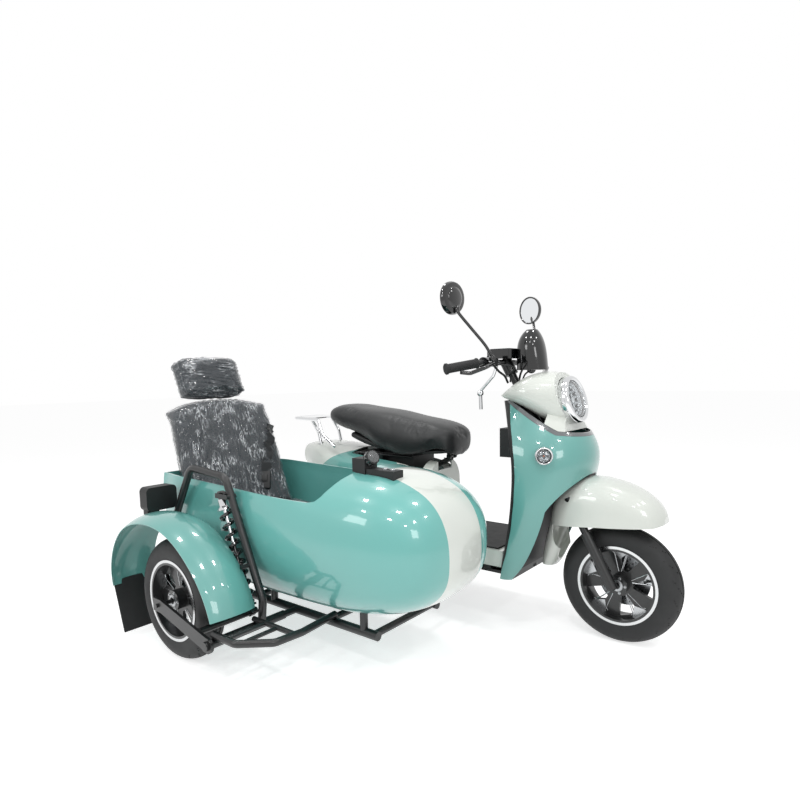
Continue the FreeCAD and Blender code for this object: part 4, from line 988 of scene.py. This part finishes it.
@dataclass
class Mirrors:
    """Round mirrors: stalk, dished shell with a raised disc on its back, and the glass."""

    reach: float = 0.058
    right_face: Point = (-0.99, 0.12, 0.0)
    left_face: Point = (-0.30, -0.95, 0.0)
    head: Point = (-0.500, -0.300, 1.225)

    def one(self, side: int) -> bmesh.types.BMesh:
        """Make one mirror's glass and return its black parts.

        Args:
            side: 1 for the rider's left, -1 for the right.
        Returns:
            The mesh of the shell, boot and stalk.
        """
        head = CAD.at(self.head[0], -side * self.head[1], self.head[2])
        way = Vector(self.left_face if side > 0 else self.right_face).normalized()
        r = self.reach
        bm = bmesh.new()
        lathe(bm, [(0.008, r * 0.90), (0.0115, r * 0.93), (0.011, r), (0.002, r),
                   (-0.006, r * 0.93), (-0.0085, r * 0.80), (-0.0085, r * 0.66),
                   (-0.0115, r * 0.62), (-0.0155, r * 0.42), (-0.017, 0.0)], head, way, 56)
        lathe(bm, [(0.008, r * 0.90), (0.008, 0.0)], head, way, 56)
        foot = CAD.at(-0.411, -side * -0.177, 1.012)
        path = smooth_path([foot, CAD.at(-0.418, side * 0.190, 1.034),
                            CAD.at(-0.430, side * 0.210, 1.066),
                            CAD.at(-0.458, side * 0.254, 1.122),
                            head + Vector((0.014, -side * 0.006, -0.048)),
                            head + Vector((0.010, -side * 0.004, -0.028))], 6)
        sweep(bm, path, lambda share: 0.0055 + 0.004 * max(0.0, 0.12 - share) / 0.12, 14)
        lathe(bm, [(0.0, 0.0), (0.0, 0.011), (0.010, 0.012), (0.018, 0.009), (0.020, 0.0)],
              path[0] - Vector((0, 0, 0.006)), path[3] - path[0], 24)
        lathe(bm, [(-0.012, 0.0), (-0.012, 0.009), (0.004, 0.0105), (0.014, 0.008),
                   (0.014, 0.0)], head + Vector((0.012, -side * 0.005, -0.040)),
              Vector((-0.2, 0, 1)), 20)
        glass = bmesh.new()
        lathe(glass, [(0.0078, r * 0.895), (0.0088, r * 0.89), (0.0096, r * 0.5),
                      (0.0099, 0.0)], head, way, 56)
        add_piece(glass, f"mirror_glass_{'left' if side > 0 else 'right'}", Body.STEERING,
                  Finishes.get("mirror"))
        return bm

    def build(self) -> None:
        """Make both mirrors."""
        for side in (-1, 1):
            name = "mirror_left" if side > 0 else "mirror_right"
            add_piece(self.one(side), name, Body.STEERING, Finishes.get("gloss"), ["mirrors"])


@dataclass
class Controls:
    """Everything on the bar: grips, switch boxes, display and cables."""

    grip_radius: float = 0.017
    bend: Point = (-0.441, 0.215, 0.998)
    end: Point = (-0.512, 0.330, 0.977)

    def grips(self) -> None:
        """Ribbed rubber grips with a flange at each end."""
        for side in (-1, 1):
            start = CAD.at(self.bend[0], side * self.bend[1], self.bend[2])
            stop = CAD.at(self.end[0], side * self.end[1], self.end[2])
            way = stop - start
            length = way.length
            r = self.grip_radius
            profile = [(length * 0.10, 0.011), (length * 0.10, r * 1.12),
                       (length * 0.13, r * 1.16), (length * 0.16, r * 1.02)]
            ribs = 26
            for rib in range(ribs):
                at = length * (0.18 + 0.76 * rib / ribs)
                step = length * 0.76 / ribs
                profile += [(at, r * 0.95), (at + step * 0.3, r * 0.99),
                            (at + step * 0.7, r * 0.99), (at + step * 0.95, r * 0.95)]
            profile += [(length * 0.96, r * 1.0), (length * 0.975, r * 1.18),
                        (length * 1.02, r * 1.2), (length * 1.035, r * 1.05),
                        (length * 1.035, 0.0)]
            bm = bmesh.new()
            lathe(bm, profile, start, way, 36)
            name = "left" if side > 0 else "right"
            add_piece(bm, f"grip_{name}", Body.STEERING, Finishes.get("rubber"), ["grips"])

    def switches(self) -> None:
        """Switch box inside each lever, with its buttons."""
        bm, buttons = bmesh.new(), bmesh.new()
        for side in (-1, 1):
            spot = CAD.at(-0.444, side * 0.126, 1.001)
            turn = Matrix.Rotation(side * 0.085, 4, "Z")
            add_block(bm, spot, (0.036, 0.034, 0.034), turn, 0.007, 3)
            add_block(bm, spot + Vector((-0.006, side * 0.002, 0.019)), (0.020, 0.026, 0.012),
                      turn, 0.004, 2)
            for step, hue in enumerate((-0.008, 0.006)):
                add_block(buttons, spot + Vector((-0.020, hue, 0.004 + 0.002 * step)),
                          (0.006, 0.009, 0.009), turn, 0.002, 2)
        add_piece(bm, "switch_boxes", Body.STEERING, Finishes.get("plastic"))
        add_piece(buttons, "switch_buttons", Body.STEERING, Finishes.get("grey"))

    def display(self) -> None:
        """Bezel, screen and cowl rim of the instrument."""
        dress("instrument", "gloss")
        spot = CAD.at(-0.452, 0, 1.0502)
        bm = bmesh.new()
        add_block(bm, spot + Vector((0, 0, 0.0008)), (0.084, 0.116, 0.003), None, 0.0012, 2)
        add_piece(bm, "display_bezel", Body.STEERING, Finishes.get("plastic"))
        bm = bmesh.new()
        add_block(bm, spot + Vector((0, 0, 0.0026)), (0.066, 0.098, 0.0016), None, 0.0006, 2)
        add_piece(bm, "display_screen", Body.STEERING, Finishes.get("screen"))

    def cables(self) -> None:
        """Brake cables and the wiring that run from the bar down behind the nacelle."""
        bm = bmesh.new()
        for side in (-1, 1):
            points = [CAD.at(-0.405, side * 0.160, 0.992), CAD.at(-0.375, side * 0.120, 0.985),
                      CAD.at(-0.378, side * 0.080, 0.975), CAD.at(-0.402, side * 0.058, 0.955),
                      CAD.at(-0.412, side * 0.048, 0.925)]
            sweep(bm, smooth_path(points, 8), 0.0032, 10)
            points = [CAD.at(-0.440, side * 0.118, 0.985), CAD.at(-0.436, side * 0.090, 0.965),
                      CAD.at(-0.428, side * 0.062, 0.948), CAD.at(-0.424, side * 0.044, 0.922)]
            sweep(bm, smooth_path(points, 8), 0.0042, 10)
        add_piece(bm, "bar_cables", Body.STEERING, Finishes.get("rubber"))

    def build(self) -> None:
        """Make and dress everything on the bar."""
        self.grips()
        self.switches()
        self.display()
        self.cables()
        dress("handlebar", "frame")
        dress("brake_levers", "gloss")
        dress("parking_lever", "chrome")


@dataclass
class ControlKnob:
    """Faceted clear knob and two bright buttons on the sidecar's control box."""

    radius: float = 0.025
    facets: int = 12

    def build(self) -> None:
        """Turn the knob and the buttons."""
        seat, way = CAD.at(-0.590, -0.660, 0.690), Vector((0.9, -0.2, 0.45))
        bm = bmesh.new()
        r = self.radius
        lathe(bm, [(-0.002, 0.0), (-0.002, r * 0.92), (0.004, r), (0.016, r * 0.98),
                   (0.024, r * 0.80), (0.026, r * 0.40), (0.0265, 0.0)], seat, way, self.facets)
        add_piece(bm, "clear_knob", Body.FRAME, Finishes.get("ribbed"), sharp=20.0)
        bm = bmesh.new()
        for x in (-0.492, -0.522):
            lathe(bm, [(-0.001, 0.0), (-0.001, 0.0105), (0.003, 0.0105), (0.0035, 0.0085),
                       (0.002, 0.008), (0.0055, 0.0065), (0.006, 0.0)],
                  CAD.at(x, -0.662, 0.662), Vector((0, 0, 1)), 32)
        add_piece(bm, "box_buttons", Body.FRAME, Finishes.get("satin"))


# ------------------------------------------------------------------------------ suspension
@dataclass
class Spring:
    """Spring-and-damper unit between two pins."""

    name: str
    top: Vector
    foot: Vector
    radius: float = 0.0195
    wire: float = 0.0036
    coils: float = 8.0

    def build(self, replaces: Sequence[str]) -> None:
        """Make the damper, its chrome cap, the spring and the eyes.

        Args:
            replaces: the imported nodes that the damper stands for.
        """
        way = self.foot - self.top
        length = way.length
        r = self.radius
        bm = bmesh.new()
        lathe(bm, [(length * 0.40, 0.0), (length * 0.40, 0.0065), (length * 0.60, 0.0065),
                   (length * 0.60, 0.0135), (length - 0.030, 0.0135), (length - 0.026, r * 0.92),
                   (length - 0.020, r * 0.92), (length - 0.018, 0.011), (length - 0.010, 0.010),
                   (length - 0.010, 0.0)], self.top, way, 28)
        for spot in (self.top, self.foot):
            lathe(bm, [(-0.009, 0.0085), (-0.009, 0.0145), (0.009, 0.0145), (0.009, 0.0085),
                       (-0.009, 0.0085)], spot, Vector((0, 1, 0)), 28)
        damper = add_piece(bm, f"{self.name}_damper", Body.FRAME, Finishes.get("gloss"), replaces)
        bm = bmesh.new()
        lathe(bm, [(0.010, 0.0), (0.010, 0.010), (0.016, 0.0155), (0.040, 0.0165),
                   (0.048, r * 0.98), (0.054, r * 0.98), (0.056, 0.008), (length * 0.5, 0.006),
                   (length * 0.5, 0.0)], self.top, way, 32)
        add_piece(bm, f"{self.name}_cap", Body.FRAME, Finishes.get("chrome"))
        bm = bmesh.new()
        start, stop = 0.058, length - 0.032
        turn = Matrix.Translation(self.top) @ along_axis(way)
        steps = int(self.coils * 20)
        path = []
        for step in range(steps + 1):
            share = step / steps
            about = TURN * self.coils * share
            path.append(turn @ Vector((math.cos(about) * (r - self.wire),
                                       math.sin(about) * (r - self.wire),
                                       start + (stop - start) * share)))
        sweep(bm, path, self.wire, 8)
        add_piece(bm, f"{self.name}_spring", Body.FRAME, Finishes.get("gloss"))


# ------------------------------------------------------------------------------- soft goods
@dataclass
class Pad:
    """A stuffed piece: a shaped core blown up by cloth pressure, then sewn."""

    name: str
    node: str
    body: Body
    finish: str
    swell: float = 0.012
    shrink: float = 0.012
    voxel: float = 0.006
    fill: float = 0.7
    shape: Callable[[Vector], Vector] | None = None
    seams: Callable[[Vector, Vector], float] | None = None

    def core(self) -> bmesh.types.BMesh:
        """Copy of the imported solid, drawn in so that it has room to swell."""
        bm = bmesh.new()
        bm.from_mesh(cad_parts[self.node].data)
        bmesh.ops.remove_doubles(bm, verts=bm.verts, dist=1e-5)
        bmesh.ops.recalc_face_normals(bm, faces=bm.faces)
        return bm

    def build(self) -> bpy.types.Object:
        """Make, inflate and sew the pad.

        Returns:
            The finished piece.
        """
        bm = self.core()
        obj = add_piece(bm, self.name, self.body, Finishes.get(self.finish), [self.node])
        remesh = obj.modifiers.new("skin", "REMESH")
        remesh.mode = "VOXEL"
        remesh.voxel_size = self.voxel
        bake(obj)
        for vert, way in zip(obj.data.vertices, normals_of(obj)):
            vert.co -= way * self.shrink
            if self.shape:
                vert.co = self.shape(vert.co)
        rest = [vert.co.copy() for vert in obj.data.vertices]
        inflate(obj)
        for vert, start in zip(obj.data.vertices, rest):
            move = vert.co - start
            if move.length > self.swell:
                vert.co = start + move * (self.swell / move.length)
        if self.seams:
            for vert, way in zip(obj.data.vertices, normals_of(obj)):
                vert.co -= way * self.seams(vert.co, way)
        finer = obj.modifiers.new("finer", "SUBSURF")
        finer.levels = finer.render_levels = 1
        bake(obj)
        obj.data.shade_smooth()
        LOG.info("pad %s: %d faces", self.name, len(obj.data.polygons))
        return obj


def normals_of(obj: bpy.types.Object) -> list[Vector]:
    """The normal of each of an object's points, read before any of them moves."""
    return [vert.normal.copy() for vert in obj.data.vertices]


def bake(obj: bpy.types.Object) -> None:
    """Apply an object's modifiers to its mesh."""
    graph = bpy.context.evaluated_depsgraph_get()
    made = bpy.data.meshes.new_from_object(obj.evaluated_get(graph))
    obj.modifiers.clear()
    old = obj.data
    obj.data = made
    made.name = old.name
    bpy.data.meshes.remove(old)


def inflate(obj: bpy.types.Object, pressure: float = 4.0, frames: int = 20) -> None:
    """Blow a closed mesh up with cloth pressure and keep the result.

    Args:
        obj: the closed piece.
        pressure: the pressure inside.
        frames: steps of the simulation.
    """
    cloth = obj.modifiers.new("fill", "CLOTH")
    cloth.settings.use_pressure = True
    cloth.settings.uniform_pressure_force = pressure
    cloth.settings.quality = 4
    cloth.settings.effector_weights.gravity = 0
    cloth.point_cache.frame_start, cloth.point_cache.frame_end = 1, frames
    for step in range(1, frames + 1):
        bpy.context.scene.frame_set(step)
    bake(obj)
    bpy.context.scene.frame_set(1)


@dataclass
class Wrap:
    """Clear polythene pulled tight over a pad, creased along the way it is pulled."""

    name: str
    pad: bpy.types.Object
    stand: float = 0.003
    crease: float = 0.007
    mouth: float = 0.012
    bag: float = 0.55
    folds: Callable[[Vector], float] | None = None
    stretch: Point = (1.0, 1.0, 0.08)

    def open_bag(self) -> bpy.types.Mesh:
        """Copy of the pad's skin, open at the foot where the bag was pulled on."""
        bm = bmesh.new()
        bm.from_mesh(self.pad.data)
        foot = min(vert.co.z for vert in bm.verts) + self.mouth
        below = [face for face in bm.faces if face.calc_center_median().z < foot]
        bmesh.ops.delete(bm, geom=below, context="FACES")
        mesh = bpy.data.meshes.new(self.name)
        bm.to_mesh(mesh)
        bm.free()
        mesh.shade_smooth()
        return mesh

    def build(self) -> bpy.types.Object:
        """Lift the film off the pad and crease it.

        Returns:
            The film.
        """
        mesh = self.open_bag()
        obj = bpy.data.objects.new(self.name, mesh)
        bpy.context.scene.collection.objects.link(obj)
        plain = Finishes.LIST["film"]
        # film with painted highlight along its folds, partly the real whitening of creased polythene
        finish = CreasedFilm(**{**vars(plain), "label": f"polythene_{self.name}"},
                             stretch=self.stretch)
        wear(obj, Finishes.own(finish))
        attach(obj, Body.FRAME.value)
        for vert, way in zip(mesh.vertices, normals_of(obj)):
            lift = self.folds(vert.co) if self.folds else 0.0
            vert.co += way * (self.stand + self.crease * lift)
        return obj


def ridges(across: float, along: float, seed: float, scale: float = 90.0) -> float:
    """Sharp-topped folds that run one way, 0 to 1.

    Args:
        across: place across the folds, metres.
        along: place along the folds, metres.
        seed: picks the set of folds.
        scale: folds to the metre.
    Returns:
        The height.
    """
    broad = 1 - abs(noise.noise(Vector((across * scale, along * scale * 0.07, seed)))) * 2.2
    fine = 1 - abs(noise.noise(Vector((across * scale * 2.3, along * scale * 0.16,
                                       seed + 7)))) * 2.2
    return max(0.0, broad) ** 2 * 0.65 + max(0.0, fine) ** 2 * 0.35


@dataclass
class PassengerSeat:
    """Cushion, backrest and headrest in their wrapping, with the harness."""

    lean: float = 20.0

    def fold_fan(self, spot: Vector) -> float:
        """Folds that fan down the backrest from the foot of the headrest."""
        low, high = span("seat_backrest")
        peak = Vector(((low[0] + high[0]) / 2, (low[1] + high[1]) / 2, high[2] + 0.25))
        away = spot - peak
        about = math.atan2(away.y, -away.z)
        return ridges(about * 0.55, away.length * 0.6, 3.1)

    def fold_bands(self, spot: Vector) -> float:
        """Folds that run across the headrest."""
        return ridges(spot.z + 0.1 * spot.y, spot.y, 11.7, 80.0)

    def fold_level(self, spot: Vector) -> float:
        """Folds that run back to front on the cushion."""
        return ridges(spot.y + 0.2 * spot.x, spot.x, 5.3, 70.0)

    def pillow(self, spot: Vector) -> Vector:
        """Round the headrest's corners and thin its edges, as on a stuffed pillow."""
        low, high = span("headrest")
        centre = (Vector(low) + Vector(high)) / 2
        side = abs(spot.y - centre.y) / ((high[1] - low[1]) / 2)
        lean = math.tan(math.radians(self.lean))
        rise = (spot.z - centre.z) / ((high[2] - low[2]) / 2)
        mid_x = centre.x - (spot.z - centre.z) * lean
        slim = 1 - 0.42 * min(1.0, side) ** 4
        round_off = 1 - 0.20 * min(1.0, side) ** 5
        tuck = 1 - 0.12 * min(1.0, abs(rise)) ** 4
        return Vector((mid_x + (spot.x - mid_x) * slim,
                       centre.y + (spot.y - centre.y) * tuck,
                       centre.z + (spot.z - centre.z) * round_off))

    def taper(self, spot: Vector) -> Vector:
        """Narrow the backrest towards its shoulders and drop its top corners."""
        low, high = span("seat_backrest")
        centre = (low[1] + high[1]) / 2
        share = (spot.z - low[2]) / (high[2] - low[2])
        narrow = 1 - 0.16 * max(0.0, share - 0.45) ** 1.5
        side = (spot.y - centre) / ((high[1] - low[1]) / 2)
        corner = 0.05 * max(0.0, share - 0.78) * side * side * 4
        return Vector((spot.x, centre + (spot.y - centre) * narrow, spot.z - corner))

    def build(self) -> None:
        """Make the pads, their film and the belts."""
        pads = (
            ("cushion", "seat_cushion", None, self.fold_level, (0.10, 1.0, 1.0)),
            ("backrest", "seat_backrest", self.taper, self.fold_fan, (1.0, 1.0, 0.08)),
            ("headrest_pad", "headrest", self.pillow, self.fold_bands, (1.0, 0.12, 1.0)),
        )
        made = {}
        for name, node, shape, folds, stretch in pads:
            pad = Pad(name, node, Body.FRAME, "cloth", shape=shape).build()
            made[name] = Wrap(f"{name}_film", pad, folds=folds, stretch=stretch).build()
        self.harness(made["backrest"])

    def harness(self, back: bpy.types.Object) -> None:
        """Shoulder belt from the scooter's side down to its buckle in the middle.

        Args:
            back: the wrapped backrest that the belt lies on.
        """
        low, high = span("seat_backrest")
        middle_y, reach = (low[1] + high[1]) / 2, (high[1] - low[1]) / 2
        line = ((high[0] + 0.2, middle_y + reach * 0.86, low[2] + (high[2] - low[2]) * 0.80),
                (high[0] + 0.2, middle_y + reach * 0.66, low[2] + (high[2] - low[2]) * 0.62),
                (high[0] + 0.2, middle_y + reach * 0.42, low[2] + (high[2] - low[2]) * 0.40))
        Strap("shoulder_belt", back, line).build()
        hit, place, normal, _ = back.ray_cast(Vector(line[-1]), Vector((-1, 0, -0.1)))
        bm = bmesh.new()
        turn = normal.to_track_quat("X", "Z").to_matrix().to_4x4()
        if hit:
            add_block(bm, place + normal * 0.010 - Vector((0, 0, 0.03)), (0.018, 0.050, 0.078),
                      turn, 0.005, 3)
            add_block(bm, place + normal * 0.019 - Vector((0, 0, 0.022)), (0.004, 0.026, 0.030),
                      turn, 0.0015, 2)
        add_piece(bm, "belt_buckle", Body.FRAME, Finishes.get("plastic"))


@dataclass
class Strap:
    """Belt webbing laid over a pad."""

    name: str
    pad: bpy.types.Object
    line: tuple[Point, ...]
    width: float = 0.046
    thick: float = 0.0016
    stand: float = 0.002

    def build(self) -> bpy.types.Object:
        """Drop the line on the pad from the front and run the webbing along it.

        Returns:
            The webbing.
        """
        spots, ways = [], []
        for start in smooth_path([Vector(point) for point in self.line], 8):
            hit, place, normal, _ = self.pad.ray_cast(start, Vector((-1, 0, -0.1)).normalized())
            spots.append(place + normal * self.stand if hit else start)
            ways.append(normal if hit else Vector((1, 0, 0)))
        bm = bmesh.new()
        edge = None
        for index, spot in enumerate(spots):
            ahead = (spots[min(index + 1, len(spots) - 1)] - spots[max(index - 1, 0)]).normalized()
            across = ways[index].cross(ahead).normalized() * self.width / 2
            if edge is None:
                ends = [bm.verts.new(spot - across), bm.verts.new(spot + across)]
                edge = bm.edges.new(ends)
                continue
            made = bmesh.ops.extrude_edge_only(bm, edges=[edge])["geom"]
            edge = next(item for item in made if isinstance(item, bmesh.types.BMEdge))
            old = {vert: other for face in edge.link_faces for vert in edge.verts
                   for link in vert.link_edges for other in [link.other_vert(vert)]
                   if other not in edge.verts}
            for vert, other in old.items():
                side = 1 if (other.co - spots[index - 1]).dot(across) > 0 else -1
                vert.co = spot + across * side
        area = sum(face.calc_area() for face in bm.faces)
        bmesh.ops.solidify(bm, geom=bm.faces[:], thickness=self.thick)
        obj = add_piece(bm, self.name, Body.FRAME, Finishes.get("belt"))
        return obj


@dataclass
class Saddle:
    """Rider's saddle: vinyl over foam, with a raised panel on each side."""

    def build(self) -> None:
        """Make the padded saddle and dress its pan."""
        Pad("saddle_cover", "saddle", Body.SADDLE, "vinyl", swell=0.006, shrink=0.004,
            fill=0.9).build()
        dress("saddle_pan", "plastic")


# ----------------------------------------------------------------------------------- the rest
class Shells:
    """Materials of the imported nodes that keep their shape."""

    PLAIN = {
        "teal": ("leg_shield", "side_covers", "sidecar_fender"),
        "white": ("nacelle", "rear_cowl", "front_fender", "floor_sill"),
        "frame": ("main_frame", "front_fork", "rear_arm", "sidecar_frame", "sidecar_arm",
                  "step_frame"),
        "plastic": ("inner_panel", "seat_bucket", "rear_fender", "battery", "control_box",
                    "fender_lamp"),
        "chrome": ("luggage_rack",),
        "rubber": ("floor_mat", "mud_flap"),
        "grey": ("lens_strip",),
        "red": ("tail_lamp",),
    }

    def build(self) -> None:
        """Dress every plain node and stripe the sidecar."""
        for key, nodes in self.PLAIN.items():
            for node in nodes:
                dress(node, key)
        low, high = span("sidecar_body")
        centre = (low[1] + high[1]) / 2
        stripe = StripedPaint("teal_paint_with_stripe", "6FBDB6", "69B5AE", 0.30, middle=centre,
                              half=0.09, start=high[0] - 0.285, **PAINT)
        wear(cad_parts["sidecar_body"], Finishes.own(stripe))


@dataclass
class Stage:
    """Floor, lights and camera."""

    eye: Point = (1.3866, -1.6991, 0.952)
    azimuth: float = 38.84
    pitch: float = 5.83
    roll: float = -1.125
    lens: float = 26.68
    shift: tuple[float, float] = (-0.001, 0.047)
    floor_size: float = 60.0

    def camera(self) -> None:
        """Set the camera up at the eye's place."""
        about, down = math.radians(self.azimuth), math.radians(self.pitch)
        ahead = Vector((-math.sin(about) * math.cos(down), math.cos(about) * math.cos(down),
                        -math.sin(down)))
        right = Vector((math.cos(about), math.sin(about), 0.0))
        rise = right.cross(ahead)
        tilt = math.radians(self.roll)
        side = right * math.cos(tilt) + rise * math.sin(tilt)
        top = rise * math.cos(tilt) - right * math.sin(tilt)
        place = Matrix((side, top, -ahead)).transposed().to_4x4()
        place.translation = Vector(self.eye)
        data = bpy.data.cameras.new("camera")
        data.lens = self.lens
        data.shift_x, data.shift_y = self.shift
        data.clip_start, data.clip_end = 0.05, 100.0
        camera = bpy.data.objects.new("camera", data)
        camera.matrix_world = place
        bpy.context.scene.collection.objects.link(camera)
        bpy.context.scene.camera = camera

    def seen(self, tree: bpy.types.NodeTree) -> bpy.types.NodeSocket:
        """1 where a thing is looked at, mirrored or seen through glass, 0 where it only lights.

        Args:
            tree: the node tree.
        Returns:
            The socket.
        """
        rays = add_node(tree, "ShaderNodeLightPath")
        total = rays.outputs["Is Camera Ray"]
        for kind in ("Is Glossy Ray", "Is Transmission Ray"):
            total = add_node(tree, "ShaderNodeMath", {"operation": "MAXIMUM"},
                             {0: total, 1: rays.outputs[kind]}).outputs[0]
        return total

    def world(self) -> None:
        """Pale even room light, white where the camera sees it."""
        world = bpy.data.worlds.new("room")
        bpy.context.scene.world = world
        world.use_nodes = True
        tree = world.node_tree
        tree.nodes.clear()
        level = add_node(tree, "ShaderNodeMapRange", {"To Min": 0.40, "To Max": 1.0},
                         {"Value": self.seen(tree)})
        back = add_node(tree, "ShaderNodeBackground", {"Color": (1, 1, 1, 1)},
                        {"Strength": level.outputs[0]})
        add_node(tree, "ShaderNodeOutputWorld", None, {"Surface": back.outputs[0]})

    def floor(self) -> None:
        """Pale floor that keeps the object's shadow."""
        bm = bmesh.new()
        bmesh.ops.create_grid(bm, x_segments=1, y_segments=1, size=self.floor_size / 2)
        mesh = bpy.data.meshes.new("floor")
        bm.to_mesh(mesh)
        bm.free()
        floor = bpy.data.objects.new("floor", mesh)
        floor.location.z = -0.0005
        bpy.context.scene.collection.objects.link(floor)
        material = bpy.data.materials.new("pale_floor")
        material.use_nodes = True
        tree = material.node_tree
        tree.nodes.clear()
        plain = add_node(tree, "ShaderNodeBsdfDiffuse", {"Color": (0.90, 0.90, 0.90, 1)})
        lift = add_node(tree, "ShaderNodeMath", {"operation": "MULTIPLY", 1: 0.62},
                        {0: self.seen(tree)})
        glow = add_node(tree, "ShaderNodeEmission", {"Color": (1, 1, 1, 1)},
                        {"Strength": lift.outputs[0]})
        both = add_node(tree, "ShaderNodeAddShader", None,
                        {0: plain.outputs[0], 1: glow.outputs[0]})
        add_node(tree, "ShaderNodeOutputMaterial", None, {"Surface": both.outputs[0]})
        mesh.materials.append(material)

    def lamp(self, name: str, place: Point, aim: Point, size: tuple[float, float],
             power: float) -> None:
        """Soft box.

        Args:
            name: its name.
            place: where it stands.
            aim: what it faces.
            size: its width and height.
            power: its power in watts.
        """
        data = bpy.data.lights.new(name, "AREA")
        data.shape = "RECTANGLE"
        data.size, data.size_y = size
        data.energy = power
        lamp = bpy.data.objects.new(name, data)
        lamp.location = place
        way = Vector(place) - Vector(aim)
        lamp.rotation_mode = "QUATERNION"
        lamp.rotation_quaternion = way.to_track_quat("Z", "Y")
        bpy.context.scene.collection.objects.link(lamp)

    def build(self) -> None:
        """Set the whole stage."""
        self.camera()
        self.world()
        self.floor()
        for row in range(3):
            for place in range(3):
                spot = (2.4 - 1.6 * row, -2.6 + 1.5 * place, 2.9)
                self.lamp(f"ceiling_light_{row}_{place}", spot, (spot[0], spot[1], 0.0),
                          (0.26, 0.26), 9)
        self.lamp("front_light", (3.4, -2.2, 2.0), (0, 0, 0.5), (1.0, 1.0), 18)
        self.lamp("side_light", (-1.2, -3.6, 2.2), (0, 0, 0.4), (1.2, 0.8), 16)


def main() -> None:
    """Build the pieces in order, then the stage."""
    logging.basicConfig(level=logging.INFO, format="%(name)s %(message)s")
    scene = bpy.context.scene
    scene.view_settings.view_transform = "Standard"
    for name in ("Cube", "Camera", "Light"):
        if name in bpy.data.objects:
            bpy.data.objects.remove(bpy.data.objects[name])
    Stage().build()
    Shells().build()
    for wheel in (Wheel("front", Body.FRONT_WHEEL),
                  Wheel("rear", Body.REAR_WHEEL, spoked=False),
                  Wheel("sidecar", Body.SIDECAR_WHEEL)):
        wheel.build()
    Brake().build()
    Headlamp().build()
    Indicators().build()
    Mirrors().build()
    Controls().build()
    ControlKnob().build()
    at = CAD.at
    Spring("left_shock", at(-1.330, 0.118, 0.580), at(-1.250, 0.118, 0.228)).build(
        ["shock_absorbers"])
    Spring("right_shock", at(-1.330, -0.118, 0.580), at(-1.250, -0.118, 0.228)).build(
        ["shock_absorbers"])
    Spring("sidecar_shock", at(-1.068, -0.897, 0.560), at(-0.930, -0.897, 0.176),
           radius=0.0255, wire=0.0062, coils=9.0).build(["shock_absorbers"])
    Saddle().build()
    PassengerSeat().build()


if __name__ == "__main__":
    main()
